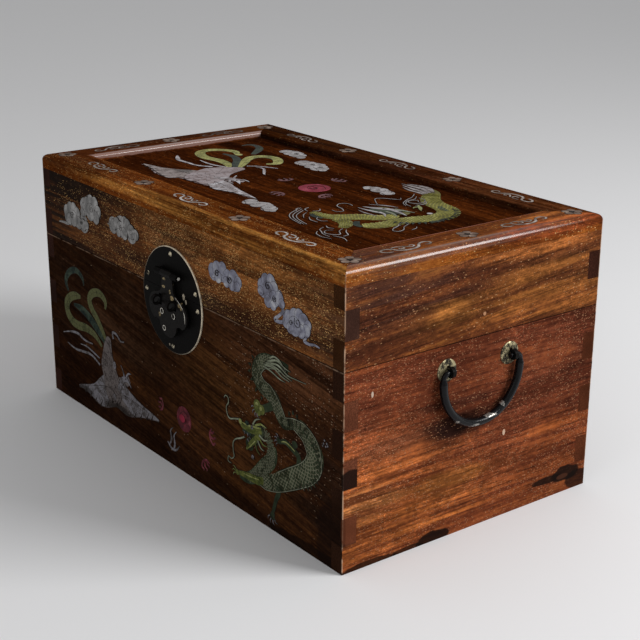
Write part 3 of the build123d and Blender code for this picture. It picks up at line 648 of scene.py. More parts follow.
panel_top = 213
panel_shell = nacre(
    "white_shell", (0, 0.2, 0.18, 0.18), (0.4, 0.33, 0.31, 0.31), (0.75, 0.45, 0.43, 0.44),
    (1, 0.62, 0.61, 0.63))
dress("panel_clouds", panel_shell)
panel_lobes = [
    (-115, 71, 5.5), (-108, 73, 6), (-94, 70, 6), (-87, 66, 4), (-106, 67, 5), (-98, 67, 5),
    (-101, 72, 6.2), (-71, 57, 5.5), (-64, 58.5, 5.5), (-53, 61, 5), (-40, 53.5, 5),
    (-36, 51, 3.5), (-53, 50.5, 5), (-63, 52, 5), (-57, 56, 6.5), (-47, 57, 6.2), (34, 43, 4),
    (40, 46, 4.5), (53, 45, 5), (59, 43, 4), (36, 40.5, 3), (46, 43.5, 6), (15, -57, 5),
    (21, -60, 5), (34, -55.5, 5), (46, -61, 5), (50, -61.5, 2.5), (29, -61, 5.4), (27, -57, 5.5),
    (40, -58, 5.6)]
shapes = [disc(1, *at) for at in panel_lobes]
shapes += [spiral(x, y, 2.6, x, width=0.22) for x, y in (
    (-101, 71), (-57, 56), (-46, 56), (46, 44), (27, -58), (40, -58.5))]
inlay("panel_cloud_lobes", on_panel, shapes, [panel_shell], "lid")

# Phoenix on the front board. One bird in pale shell with spread wings, and a long tail of
# green and blue-green plumes that curl over its back; fine engraved lines part its feathers.

# Both shells of this bird are set much darker than pale shell, in part as painted shade over the
# left end of the front, and the lower edges of its wings are painted darker still as shade.
wing_painted_shade = (((-152, -120, 16), (14, 3, 6), 0.75), ((-92, -120, 17), (23, 3, 7), 0.85))
feather_shell = nacre(
    "feather_shell", (0, 0.0255, 0.0205, 0.019), (0.4, 0.051, 0.042, 0.039),
    (0.7, 0.086, 0.076, 0.076), (1, 0.18, 0.172, 0.19), streaks=0.4, shine=0.03, darkened=wing_painted_shade)
breast_shell = nacre(
    "breast_shell", (0, 0.012, 0.008, 0.0068), (0.4, 0.027, 0.02, 0.0175),
    (0.7, 0.05, 0.0385, 0.0355), (1, 0.13, 0.11, 0.105), streaks=0.5, shine=0.02, darkened=wing_painted_shade)
leaf_green = nacre(
    "leaf_green_stone", (0, 0.0185, 0.0255, 0.00434), (0.5, 0.0527, 0.066, 0.0112),
    (1, 0.14, 0.15, 0.0341), streaks=0.2)
teal = nacre(
    "teal_stone", (0, 0.0035, 0.00672, 0.00544), (0.5, 0.008, 0.0176, 0.0129),
    (1, 0.04, 0.0588, 0.0374), streaks=0.2, shine=0.02)
# The darkest green of the plumes is green in painted shade.
green_in_painted_shade = nacre(
    "shaded_green_stone", (0, 0.0062, 0.0078, 0.0022), (0.5, 0.021, 0.0245, 0.0066),
    (1, 0.09, 0.094, 0.036), streaks=0.6, shine=0.02)
dress("front_phoenix", breast_shell)


def cut(finish, *outline):
    return (saw_leaf, flow(outline, True), finish)


def plumes(finish, *points):
    """A plume with short engraved barbs on both sides of its quill."""
    line = flow(points)
    marks = [band(finish, *points), band(0, *[(p.x, p.y, 0.4) for p in line[::4]])]
    for i in range(2, len(line) - 1, 2):
        here = line[i]
        run = (line[i + 1] - line[i - 1]).xy.normalized()
        for side in (-1, 1):
            out = Vector((-run.y, run.x)) * side
            tip = here.xy + out * here.z * 0.45 + run * 2
            marks.append(band(0, (here.x, here.y, 0.3), (tip.x, tip.y, 0.2)))
    return marks


def feathers(root, *tips):
    """Engraved lines that fan out from a root to the tips of a wing."""
    marks = []
    for tip in tips:
        middle = ((root[0] + tip[0]) / 2, (root[1] + tip[1]) / 2 + 0.8)
        marks.append(band(0, (*root, 0.34), (*middle, 0.34), (*tip, 0.238)))
    return marks


def notches(*places):
    """Dark cuts that run in from the edge of a wing, between its flight feathers."""
    return [band(0, (x - 1.5, y - 1.5, 2.4), (x, y + 0.5, 1.7), (x + 2.5, y + 5, 0.3))
            for x, y in places]


def scallops(x, y, across, up, shift, half, drop):
    """Four rows of small engraved arcs, for the down on a bird's breast."""
    marks = []
    for row in range(4):
        for k in range(4):
            left, foot = x + across * k + shift * (row % 2), y + up * row
            marks.append(band(0, (left, foot, 0.3), (left + half, foot - drop, 0.4),
                              (left + 2 * half, foot, 0.3)))
    return marks


shapes = []
shapes += plumes(
    3, (-176, 103, 3), (-180, 110, 5), (-177, 117, 6), (-169, 123, 6), (-158.5, 125.5, 5.5),
    (-149, 121.5, 4.5), (-147, 115, 1.5))
shapes += plumes(
    2, (-154, 103, 3), (-163, 102, 7), (-173, 98, 8), (-180, 91, 9), (-179, 82, 9),
    (-171, 76.5, 8.5), (-159, 75.5, 8), (-146, 77, 7.5), (-131, 75, 6), (-119, 68, 3))
shapes += plumes(
    3, (-167, 93, 2.5), (-153, 92.5, 7), (-140, 89, 8), (-128, 83, 8), (-117, 76, 5.5),
    (-110, 70, 2))
shapes += plumes(
    2, (-110, 104, 2.5), (-109.5, 111, 5.5), (-119, 115.5, 7), (-131, 112.5, 7.5),
    (-137.5, 105.5, 7.5), (-134, 98, 7.5), (-125, 91, 7), (-116, 82, 5.5), (-110, 74, 3))
shapes += [
    band(1, (-98, 81, 2.4), (-98.5, 86.5, 2.6), (-92, 86.5, 2.2), (-86, 82.5, 1.8),
         (-80, 83.5, 1)),
    band(1, (-190, 61, 0.8), (-176, 65.5, 1.8), (-162, 67.5, 2.6), (-150, 65, 2),
         (-136, 65.5, 1.2)),
    band(1, (-183, 53.5, 0.8), (-168, 51.5, 2), (-152, 53.5, 2.4), (-138, 54.5, 2.4),
         (-124, 50, 2)),
    band(1, (-158, 59, 0.8), (-146, 60, 1.6), (-134, 58, 1.8), (-124, 56, 1.4)),
    cut(1, (-165, 18.5), (-149, 24), (-136, 29), (-126, 37), (-117, 43), (-108, 44), (-104, 34),
        (-110, 24), (-114, 15.5), (-123, 12.5), (-136, 14.5), (-150, 17)),
    cut(1, (-27, 31.5), (-41, 34.5), (-56, 36.5), (-72, 41), (-82, 44), (-90, 40), (-88, 31),
        (-80, 27), (-70, 22), (-58, 24), (-44, 28)),
    cut(4, (-109, 80), (-103, 79), (-102, 70), (-100, 60), (-95, 52), (-90, 44), (-88, 34),
        (-93, 24), (-102, 24), (-111, 23), (-116, 32), (-118, 42), (-121, 52), (-118, 62),
        (-114, 73)),
    band(1, (-92, 36, 5), (-89, 43, 5.5), (-84, 49, 5.5), (-78, 50.5, 4), (-73, 47.5, 1.6),
         (-71, 45.5, 0.5)),
    band(1, (-82, 52, 2), (-84, 57, 1.8), (-87, 61, 0.6)),
    band(1, (-79, 53, 2), (-75, 57, 1.8), (-70.5, 58, 0.6)),
    band(1, (-82, 45, 2), (-79, 41, 1.8), (-77, 42, 0.6)), disc(1, -98, 57.5, 2.4, 1.4),
    disc(1, -100, 28, 2.6, 1.2)]
shapes += feathers(
    (-112, 34), (-157, 19.5), (-146, 17.5), (-136, 16.5), (-127, 15), (-120, 14.5), (-150, 22),
    (-138, 26))
shapes += feathers(
    (-84, 35), (-34, 31.5), (-46, 29.5), (-57, 26), (-66, 24.5), (-74, 25.5), (-48, 33.5),
    (-60, 36))
shapes += feathers(
    (-102, 50), (-124, 54), (-121, 60), (-118, 70), (-112, 77), (-105, 77), (-104, 68))
shapes += notches(
    (-152, 17.2), (-143, 15.8), (-134, 14.2), (-125, 12.7), (-66, 22.2), (-56, 24.6), (-46, 27.4),
    (-38, 29.4), (-104, 23), (-96, 23))
shapes += scallops(-112, 31, 5.4, 5, 2, 2.5, 2.4)
shapes += [disc(0, -79.5, 50.8, 0.8), band(0, (-88, 47, 0.3), (-86, 42, 0.5), (-90, 37, 0.3))]
inlay(
    "front_phoenix_feathers", on_front, shapes, [feather_shell, green_in_painted_shade, teal, breast_shell],
    "box", step=0.002)

# Phoenix on the lid panel. The same bird turned about, in whiter shell, with yellow-green
# plumes on both sides of a blue-green one.

wing_shell = nacre(
    "pink_white_shell", (0, 0.1, 0.075, 0.073), (0.4, 0.19, 0.155, 0.155),
    (0.7, 0.28, 0.245, 0.25), (1, 0.52, 0.5, 0.53), streaks=0.35)
back_shell = nacre(
    "pink_back_shell", (0, 0.0936, 0.0594, 0.0561), (0.4, 0.17, 0.12, 0.11),
    (0.7, 0.23, 0.17, 0.17), (1, 0.33, 0.28, 0.29), streaks=0.4)
plume_green = nacre(
    "plume_green_stone", (0, 0.092, 0.0945, 0.0174), (0.5, 0.22, 0.22, 0.0434),
    (1, 0.42, 0.41, 0.12), streaks=0.2)
dull_wing = nacre(
    "dull_wing_shell", (0, 0.045, 0.03, 0.027), (0.5, 0.11, 0.08, 0.072), (1, 0.3, 0.25, 0.24),
    streaks=0.4, darkened=(((-106, -43, 213), (12, 7, 4), 0.7),))
dress("panel_phoenix", back_shell)
shapes = []
shapes += plumes(
    3, (-158, 52, 2), (-158, 60, 5), (-149, 62, 6), (-139, 58, 7), (-130, 49, 7), (-122, 39, 4))
shapes += plumes(
    2, (-130, 27.5, 4), (-140, 32.5, 7), (-151, 29, 8.5), (-159.5, 18.5, 9), (-158, 8.5, 9),
    (-149, 1.5, 9.5), (-135, -1.5, 9.5), (-118, 1.5, 9), (-103, -0.5, 8), (-92, -6, 4))
shapes += plumes(3, (-139, 19, 3), (-125, 20.5, 6), (-110, 14.5, 7.5), (-98, 5, 7), (-87, -3, 4))
shapes += plumes(
    2, (-83, 26, 4), (-79.5, 34, 8), (-87, 41.5, 9), (-98, 45.5, 9), (-108.5, 41.5, 9.5),
    (-112, 32, 9.5), (-107, 22.5, 8.5), (-97, 12.5, 7.5), (-86, 1, 4))
shapes += [
    disc(2, -128, 28, 4, 0.8), band(1, (-86, 8, 2), (-80, 15, 2.2), (-72, 20, 2), (-63, 24, 1)),
    band(1, (-78, 12, 1), (-70, 14, 2), (-61, 8.5, 2.6), (-54, 3.5, 2), (-50, 2, 0.8)),
    band(1, (-156, -18, 1.5), (-148, -22.5, 4), (-140, -26, 3.6), (-127, -25.5, 3),
         (-113, -24.5, 3), (-101, -17, 3)),
    band(1, (-128, -12, 1), (-116, -13, 2.4), (-104, -12, 2.6), (-92, -8, 2)),
    cut(5, (-145, -58.5), (-124, -53.5), (-110, -46), (-97, -36), (-86, -36), (-80, -48),
        (-83, -57), (-88, -68), (-99, -67.5), (-112, -65), (-126, -61.5)),
    cut(1, (12, -50), (-6, -46.5), (-26, -43), (-42, -38), (-54, -38), (-58, -48), (-48, -55),
        (-33, -59), (-18, -54), (-2, -51.5)),
    cut(4, (-84, 1), (-77, 0), (-73, -10), (-68, -20), (-60, -28), (-53, -38), (-51, -49),
        (-54, -58), (-62, -57), (-73, -60), (-84, -55), (-92, -44), (-96, -34), (-99, -24),
        (-95, -12), (-90, -6)),
    band(1, (-66, -38, 7), (-60, -32, 7.5), (-53, -28.5, 6), (-46, -28.5, 4.6), (-40, -31, 2.4),
         (-36, -33, 0.6)),
    band(1, (-55, -26, 2.2), (-59, -22, 1.8), (-62, -18.5, 0.8)),
    band(1, (-49, -26, 2.2), (-44, -22.5, 2), (-37, -23, 0.8)),
    band(1, (-52, -32, 2.2), (-46, -36, 2), (-41, -36, 0.8))]
shapes += feathers(
    (-90, -46), (-137, -58.5), (-124, -60), (-112, -63), (-101, -65.5), (-92, -66), (-124, -55),
    (-110, -49))
shapes += feathers(
    (-55, -45), (4, -50), (-10, -51.5), (-22, -54), (-34, -57), (-44, -55), (-14, -47.5),
    (-30, -43))
shapes += feathers((-76, -30), (-99, -23), (-93, -11), (-86, -2), (-80, -3), (-75, -12))
shapes += notches(
    (-135, -60.6), (-126, -62), (-117, -64.2), (-107, -66.2), (-97, -67.9), (-76, -59),
    (-66, -58.5), (-38, -58), (-27, -57.4), (-16, -54), (-5, -52.2))
shapes += scallops(-88, -52, 7, 6, 3, 3, 2.6)
shapes += [disc(0, -47, -28.5, 0.8), band(0, (-60, -27, 0.3), (-56, -32, 0.5), (-58, -38, 0.3))]
inlay(
    "panel_phoenix_feathers", on_panel, shapes,
    [wing_shell, plume_green, teal, back_shell, dull_wing], "lid", step=0.002)

# Pearls with their flames. A round of red shell on the front and of pink shell on the lid,
# each ringed by little tongues of fire.

rose_shell = nacre(
    "rose_shell", (0, 0.14, 0.0105, 0.021), (0.5, 0.25, 0.025, 0.048), (1, 0.38, 0.08, 0.115),
    shine=0.01)
dark_rose = nacre(
    "dark_rose_shell", (0, 0.055, 0.007, 0.011), (0.5, 0.12, 0.016, 0.024), (1, 0.3, 0.075, 0.09))
dull_rose = nacre(
    "dull_rose_shell", (0, 0.068, 0.015, 0.0208), (0.5, 0.14, 0.0375, 0.0464),
    (1, 0.27, 0.11, 0.11))
dress("front_pearl", dark_rose)
dress("panel_pearl", rose_shell)


def flame(x, y, turn, size=1):
    """Three curling tongues side by side, on one foot."""
    tongues = [((u, 0, 2.6), (u + 1.4, h * 0.4, 2.2), (u - 0.4, h * 0.75, 1.4), (u + 1, h, 0.4))
               for u, h in ((-5, 6), (0, 8), (5, 6.5))]
    tongues.append(((-7.5, 2.5, 1.2), (-4, -1.2, 2.4), (2, -1.6, 2.4), (7.5, 2.2, 1.2)))
    return [band(1, *turned(x, y, turn, tongue, size, size)) for tongue in tongues]


shapes = flame(0, 38, 0.1) + flame(34, -2, -1.3) + flame(8, -25, 3.1) + flame(-25, 5, 1.2, 0.9)
shapes += [spiral(9.5, 8, 9.5, 0.6, 1.1), spiral(9.5, 8, 4.5, 2.6, 1.2)]
inlay("panel_pearl_flames", on_panel, shapes, [dull_rose], "lid")
shapes = flame(50, 45, -1.4, 0.9) + flame(40, 20, -2.6, 0.9) + flame(-22, 47, 1.3, 0.8)
shapes += [disc(2, 8.5, 46, 4.2, 0.8), spiral(11, 46, 7.5, 0.6, 1.1)]
inlay("front_pearl_flames", on_front, shapes, [dark_rose, rose_shell], "box")
shapes = [
    band(1, (-13, 15, 1), (-9, 22, 2.6), (-10, 29, 1.8), (-6, 33, 0.6)),
    band(1, (-7, 13, 1), (-4, 19, 2.6), (-5, 26, 1.8), (-1, 31, 0.6)),
    band(1, (-15, 18, 1.6), (-9, 14, 2.4), (-2, 15, 2), (3, 20, 0.8))]
inlay("front_small_flame", on_front, shapes, [feather_shell], "box")

# Dragon on the front board. Green stone in one long coil with overlapping scales, a tuft of
# fine white strands on its tail, clawed legs, and a bright head with two whiskers.


def growing(name, inputs):
    """A tree for pieces that repeat on a start mesh, and the values handed to it."""
    tree = bpy.data.node_groups.new(name, "GeometryNodeTree")
    inputs = {"Geometry": "Geometry", **inputs, "Rise": "Float", "Finish": "Material"}
    for label, kind in inputs.items():
        tree.interface.new_socket(label, in_out="INPUT", socket_type="NodeSocket" + kind)
    tree.interface.new_socket("Geometry", in_out="OUTPUT", socket_type="NodeSocketGeometry")
    return tree, tree.nodes.new("NodeGroupInput").outputs


def geo(tree, kind, sockets=None, **settings):
    """Adds a geometry node and gives its outputs."""
    return node(tree, "GeometryNode" + kind, sockets, **settings).outputs


def raised(tree, shape, rise):
    lift = shade(tree, "CombineXYZ", {2: rise})[0]
    return geo(tree, "Transform", {0: shape, "Translation": lift})[0]


def realised(tree, shape, finish):
    """Ends a tree: the repeated pieces made real, in one finish."""
    solid = geo(tree, "RealizeInstances", {0: shape})[0]
    solid = geo(tree, "SetMaterial", {0: solid, "Material": finish})[0]
    tree.links.new(solid, tree.nodes.new("NodeGroupOutput").inputs[0])
    return tree


def scale_tree():
    """Rows of overlapping scales along a line, as wide as the body at each place."""
    tree, given = growing("scale_rows", {"Row Spacing": "Float", "Scales Across": "Int",
                                         "Scale Size": "Float"})
    line = geo(tree, "MeshToCurve", {0: given["Geometry"]})[0]
    spots = geo(tree, "CurveToPoints", {0: line, "Length": given["Row Spacing"]}, mode="LENGTH")
    turn = node(tree, "FunctionNodeAlignRotationToVector", {"Vector": spots["Tangent"]},
                axis="X", pivot_axis="Z").outputs[0]
    width = geo(tree, "InputNamedAttribute", {"Name": "width"}, data_type="FLOAT")[0]
    plate = geo(tree, "MeshCircle", {"Vertices": 9, "Radius": given["Scale Size"]},
                fill_type="NGON")[0]
    plate = geo(tree, "Transform", {0: plate, "Rotation": (0, math.radians(-5), 0),
                                    "Scale": (1.15, 1, 1)})[0]
    plate = geo(tree, "SetMaterial", {0: plate, "Material": given["Finish"]})[0]
    odd = shade(tree, "Math", {0: geo(tree, "InputIndex")[0], 1: 2}, operation="MODULO")[0]
    even = shade(tree, "Math", {0: 1, 1: odd}, operation="SUBTRACT")[0]
    joined = node(tree, "GeometryNodeJoinGeometry")
    for side, shorter, chosen in ((0.38, 0, even), (0.285, 1, odd)):
        number = shade(tree, "Math", {0: given["Scales Across"], 1: shorter},
                       operation="SUBTRACT")[0]
        row = geo(tree, "MeshLine", {"Count": number, "Start Location": (0, -side, 0),
                                     "Offset": (0, side, 0)},
                  mode="END_POINTS", count_mode="TOTAL")[0]
        row = geo(tree, "InstanceOnPoints", {"Points": row, "Instance": plate})[0]
        laid = geo(tree, "InstanceOnPoints", {"Points": spots["Points"], "Selection": chosen,
                                              "Instance": row, "Rotation": turn,
                                              "Scale": width})[0]
        tree.links.new(laid, joined.inputs[0])
    return realised(tree, raised(tree, joined.outputs[0], given["Rise"]), given["Finish"])


def grown(name, start, tree, values):
    """Runs a tree on a start mesh and keeps its result as a plain mesh."""
    holder = stand(name, start)
    live = holder.modifiers.new("grown", "NODES")
    live.node_group = tree
    for item in tree.interface.items_tree:
        if item.in_out == "INPUT" and item.name in values:
            live[item.identifier] = values[item.name]
    ready = holder.evaluated_get(bpy.context.evaluated_depsgraph_get())
    mesh = bpy.data.meshes.new_from_object(ready)
    mesh.name = name
    holder.modifiers.remove(live)
    holder.data = mesh
    return holder


def scaled_line(lines):
    """The middle lines of a body as edges, with its width at each point, in metres."""
    points, edges, widths = [], [], []
    for line in lines:
        smooth = flow(line)
        first = len(points)
        points += [(p.x / 1000, p.y / 1000, 0) for p in smooth]
        widths += [p.z / 1000 for p in smooth]
        edges += [(k, k + 1) for k in range(first, len(points) - 1)]
    mesh = bpy.data.meshes.new("middle_line")
    mesh.from_pydata(points, edges, [])
    mesh.attributes.new("width", "FLOAT", "POINT").data.foreach_set("value", widths)
    return mesh


def scales(name, lines, face, body, rim, heart):
    """Two layers of round scales: the pale rim of each, then its darker middle."""
    for part, size, rise, finish in ((name + "_rims", 0.108, 0.00018, rim),
                                     (name, 0.066, 0.00023, heart)):
        piece = grown(part, scaled_line(lines), scales_tree,
                      {"Row Spacing": 0.0023, "Scales Across": 5, "Scale Size": size,
                       "Rise": rise, "Finish": finish})
        piece.data.transform(face)
        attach(piece, body)


def edge_line(finish, line, share):
    """A thin strip that follows one side of a body."""
    smooth = flow(line)
    marks = []
    for i in range(0, len(smooth), 4):
        run = smooth[min(i + 1, len(smooth) - 1)] - smooth[max(i - 1, 0)]
        side = Vector((-run.y, run.x)).normalized() * smooth[i].z * share
        marks.append((smooth[i].x + side.x, smooth[i].y + side.y, 0.7))
    return band(finish, *marks)


def paw(x, y, turn, size, pad, claw, toes=4):
    """Toes that fan out from a round pad, each with a hooked claw."""
    marks = []
    for k in range(toes):
        a = turn + 0.55 * (k - (toes - 1) / 2)
        knuckle = off(x, y, size * 1.3, a)
        marks.append(band(pad, (x, y, size * 0.55), (*knuckle, size * 0.42)))
        nail, tip = off(*knuckle, size * 0.6, a), off(*knuckle, size * 1.15, a + 0.5)
        marks.append(band(claw, (*knuckle, size * 0.34), (*nail, size * 0.26), (*tip, 0.2)))
    return marks + [disc(pad, x, y, size * 0.7)]


def fins(finish, count, x, y, wide, high, start, sweep, inner, outer, width):
    """Pointed fins that lean back along a bend of the spine."""
    marks = []
    for k in range(count):
        a = start - sweep * k / (count - 1)
        root = (x + wide * math.cos(a), y + high * math.sin(a))
        marks.append(band(finish, (*off(*root, -inner, a), width),
                          (*off(*root, outer, a - 0.3), 0.5)))
    return marks


scales_tree = scale_tree()
front_face = Matrix(((1, 0, 0, 0), (0, 0, -1, -half_depth), (0, 1, 0, 0), (0, 0, 0, 1)))
panel_face = Matrix.Translation((0, 0, panel_top / 1000))
scale_stone = nacre(
    "scale_green_stone", (0, 0.006, 0.0056, 0.0026), (0.45, 0.018, 0.0175, 0.0082),
    (0.8, 0.047, 0.046, 0.024), (1, 0.15, 0.15, 0.1), streaks=0.5, shine=0.015)
deep_green = nacre(
    "deep_green_stone", (0, 0.012, 0.017, 0.009), (0.5, 0.028, 0.038, 0.02),
    (1, 0.07, 0.086, 0.045), shine=0.015)
bright_green = nacre(
    "bright_green_stone", (0, 0.0612, 0.0756, 0.012), (0.5, 0.14, 0.15, 0.033),
    (1, 0.27, 0.29, 0.11), streaks=0.3)
dress("front_dragon", deep_green)
coil = [
    (150, 130, 9), (132, 131, 10), (118, 127, 12), (112, 117, 13), (119, 109, 13), (131, 105, 13),
    (139, 96, 12), (146, 90, 10), (158, 93, 9), (172, 89, 15), (181, 77, 19), (176, 65, 19),
    (164, 56, 18), (150, 48, 17), (138, 41, 15), (129, 37.5, 14), (121, 35, 12), (114, 34, 7)]
neck = [
    (99, 30, 6), (104, 32, 10), (112, 38, 12), (122, 48, 13), (129, 57, 12), (129, 67, 10),
    (123, 74, 8), (116, 76, 5)]
scales(
    "front_dragon_scales", [coil[1:], neck], front_face, "box", scale_stone, deep_green)
shapes = [
    band(1, (138, 38, 8), (138, 32, 5), (135.5, 27, 4), (133, 20, 3.6), (131, 14, 3)),
    band(2, (116, 37, 6), (116, 33, 6.5), (106, 32, 6.5), (95, 31, 5), (86, 29.5, 3)),
    band(4, (114, 34, 1.2), (105, 32.5, 1.4), (94, 31.5, 1)),
    band(1, (162, 62, 5), (162.5, 70, 5), (155, 73.5, 4.5), (147, 76, 4), (141, 74, 3.4)),
    band(4, (158, 73, 1), (148, 76, 1.2), (141, 74, 0.8)),
    band(1, (131, 98, 7), (124, 94, 6), (117, 91, 5.5), (113, 91, 4)), disc(2, 112.5, 92.5, 4.2),
    disc(2, 118, 90.5, 3.8), disc(2, 114, 87.5, 3), disc(4, 112, 93, 1.8), disc(4, 117, 91, 1.6),
    disc(1, 158, 78, 3.2, 0.8)]
shapes += paw(112, 90, 4, 3.2, 2, 3) + paw(131, 13, 4.5, 3.4, 1, 3)
shapes += paw(86, 29.5, 3, 3, 2, 4, toes=3) + paw(140, 74, 3, 2.8, 1, 3)
shapes += [edge_line(6, coil, 0.46), edge_line(6, coil[8:15], -0.45)]
shapes += fins(1, 20, 160, 71, 27.5, 24, 1.95, 3.35, 3.5, 1.4, 2.4)
shapes += [band(1, (x, y, 2.4), (*off(x, y, 3, turn), 0.5)) for x, y, turn in (
    (104.5, 116, 3.2), (105, 121, 2.9), (108.5, 127, 2.4), (107, 111, 3.7), (112, 105, 4.2),
    (118.5, 101, 4.5), (152, 98, 2), (156, 100, 1.6), (160, 99, 1.2))]
shapes += [disc(3, x, y, 0.7) for x, y in (
    (191, 91), (193.5, 89.5), (194.5, 92), (192, 93.5), (195.5, 90.5), (190, 89))]
tuft = [
    [(126, 130, 2), (137, 134, 1.6), (146, 131.5, 1.2), (153, 130.5, 0.5)],
    [(124, 128, 2), (138, 131, 1.6), (150, 127, 1.2), (159, 127, 0.8), (171, 127.5, 0.4)],
    [(122, 126.5, 2), (133, 127.5, 1.6), (143, 124, 1.2), (152, 123, 0.5)],
    [(129, 133.5, 1.6), (134, 136, 1.4), (141, 134.5, 1.1), (148, 129, 0.4)],
    [(128, 129, 1.6), (139, 128, 1.4), (147, 125.5, 1.1), (155, 124.5, 0.4)],
    [(121, 125, 1.6), (130, 124, 1.4), (140, 121.5, 1.1), (147, 121, 0.4)]]
shapes += [band(6, *line) for line in tuft]
shapes += [
    disc(1, 113, 72, 8.2, 0.68, 0.25),
    band(2, (118, 74, 5), (109, 71.5, 6.5), (100, 70, 5.5), (93, 70.5, 4.2), (89.5, 73.5, 1.6)),
    band(2, (115, 69, 5), (108.5, 63, 5.5), (102.5, 57.5, 4.2), (98.5, 53, 1.6)),
    band(4, (117, 75.5, 1.6), (108, 74, 1.8), (100, 72.5, 1.6), (92, 72.5, 1)),
    band(4, (110, 63.5, 1.4), (104, 57.5, 1.4), (100, 54, 0.8)),
    band(5, (94, 67, 2.2), (99, 66.2, 2.6), (105, 66.5, 2.2)),
    band(3, (96, 66.5, 1.4), (96.5, 64, 0.4)), band(3, (100, 66.3, 1.4), (100.6, 63.8, 0.4)),
    band(3, (101.5, 60, 1.3), (99.8, 62, 0.4)), band(3, (104, 63, 1.3), (102.3, 64.6, 0.4)),
    disc(4, 91, 72.5, 2.1), disc(5, 99.5, 74, 2.4, 0.7), disc(3, 106, 72.8, 1.5),
    disc(0, 105.7, 72.6, 0.7), band(4, (110, 75.5, 2), (117, 79, 1.8), (124, 78.5, 0.6)),
    band(6, (107, 75.5, 1.6), (111, 80.5, 1.4), (117, 83, 0.5)),
    band(6, (115, 70, 2), (121, 68, 1.6), (126, 70, 0.5)),
    band(2, (115, 67.5, 2), (120, 64, 1.6), (125, 64.5, 0.5)),
    band(6, (113, 65, 1.8), (117, 60.5, 1.5), (121, 59.5, 0.5)),
    band(2, (110, 62, 1.6), (112, 57, 1.3), (116, 54.5, 0.4)), disc(3, 106.5, 49.5, 1.6),
    band(6, (89, 73.5, 1.6), (83, 71.8, 1.3), (77, 70, 1.2), (73.6, 72.7, 1.1), (72.7, 78, 1.1),
         (75.5, 82, 1.1), (75, 86, 1.1), (71.5, 86.5, 1), (70, 84, 0.7)),
    band(6, (96, 61.8, 1.6), (91, 59, 1.4), (84.5, 56, 1.2), (81, 51.8, 1.1), (81, 45.5, 1.1),
         (82, 41, 1.1), (78.5, 38, 1), (74.5, 38.5, 1), (74, 34.5, 1), (78, 34, 0.7))]
strand_shell = nacre(
    "strand_shell", (0, 0.11, 0.12, 0.0808), (0.5, 0.2, 0.22, 0.15), (1, 0.36, 0.39, 0.3))
inlay(
    "front_dragon_limbs", on_front, shapes,
    [deep_green, leaf_green, feather_shell, bright_green, teal, strand_shell], "box",
    first=0.3, step=0.003)

# Dragon on the lid panel. Yellow-green stone, a white plumed tail, a shell-white head with
# a dark mane, and four clawed feet drawn in curling white lines.

lime_stone = nacre(
    "lime_green_stone", (0, 0.15, 0.14, 0.0174), (0.45, 0.3, 0.28, 0.0422),
    (0.8, 0.44, 0.42, 0.093), (1, 0.6, 0.58, 0.2), streaks=0.2)
lime_edge = nacre("lime_edge", (0, 0.085, 0.075, 0.02), (1, 0.21, 0.19, 0.055), gloss=0.4)
fan_shell = nacre(
    "tail_fan_shell", (0, 0.03, 0.02, 0.016), (0.4, 0.07, 0.052, 0.046), (0.7, 0.13, 0.105, 0.1),
    (1, 0.3, 0.27, 0.27), streaks=0.5)
dress("panel_dragon", lime_edge)
long_coil = [
    (66, 76, 12), (80, 70, 14), (92, 58, 16), (106, 51, 17), (121, 48, 18), (132, 40, 18),
    (136, 26, 18), (131, 10, 17), (128, -6, 16), (128, -20, 15), (122, -32, 12)]
fore_body = [
    (70, -39, 7), (86, -37, 12), (94, -30, 16), (102, -18, 16), (112, -8, 14), (113, 4, 12)]
foot = [(98, -36, 12), (110, -39, 11), (117, -48, 7)]
scales(
    "panel_dragon_scales", [long_coil[1:], fore_body, foot], panel_face, "lid", lime_stone,
    lime_edge)
shapes = [
    band(6, (76, 74, 4), (66, 80, 4.5), (55, 80, 3.6), (44, 76, 0.8)),
    band(6, (76, 71, 4), (66, 75, 4.5), (54, 74.5, 3.6), (40, 73, 0.8)),
    band(6, (77, 67, 3.6), (69, 69, 4), (58, 69, 3.4), (45, 70, 0.8)),
    band(6, (77, 64, 3), (70, 64.5, 3), (60, 64, 2.4), (50, 66, 0.6)),
    band(3, (113, 49, 3), (119, 45.5, 5), (127, 44, 3)),
    band(3, (142, 29, 2), (144, 20, 4), (143, 12, 3)),
    band(3, (110, -29, 4), (117, -35, 5), (124, -36, 3)),
    band(3, (74, -43.5, 3), (80, -45.5, 4), (88, -44, 3)), disc(4, 100, 6, 13, 0.62, 0.5),
    band(1, (79, 1, 0.6), (87, 5, 4.2), (95, 10.5, 5.4), (103, 15, 3.6), (109, 18, 0.8)),
    band(6, (77, 9, 0.6), (82, 13.5, 1.8), (89, 18, 2.2), (97, 21, 0.8)),
    band(1, (79, -3.5, 0.6), (87, -3, 2), (96, -1, 2.6), (105, 1.5, 0.8)),
    band(6, (85, -8, 0.6), (93, -9, 1.6), (101, -8.5, 1.4), (108, -8, 0.5)),
    band(5, (99, 16, 3), (107, 18, 3), (116, 21, 1)),
    band(1, (101, 12, 3), (110, 12, 3), (119, 10.5, 1)),
    band(5, (101, 6, 2.6), (109, 6, 2.6), (117, 3, 0.8)),
    band(1, (99, 1, 2.4), (106, 0, 2.4), (112, -4, 0.8)), disc(0, 93, 11, 1.6),
    disc(1, 93.4, 11.3, 0.7), band(2, (108, 33.5, 3.5), (103, 36.5, 2), (100, 38, 0.6)),
    band(2, (108, 33.5, 3.5), (112, 30.5, 2), (115, 28.5, 0.6)),
    band(2, (105, 36, 2.5), (104, 31, 1.6), (106, 28.5, 0.6)), disc(1, 124.5, 28.5, 2.2)]
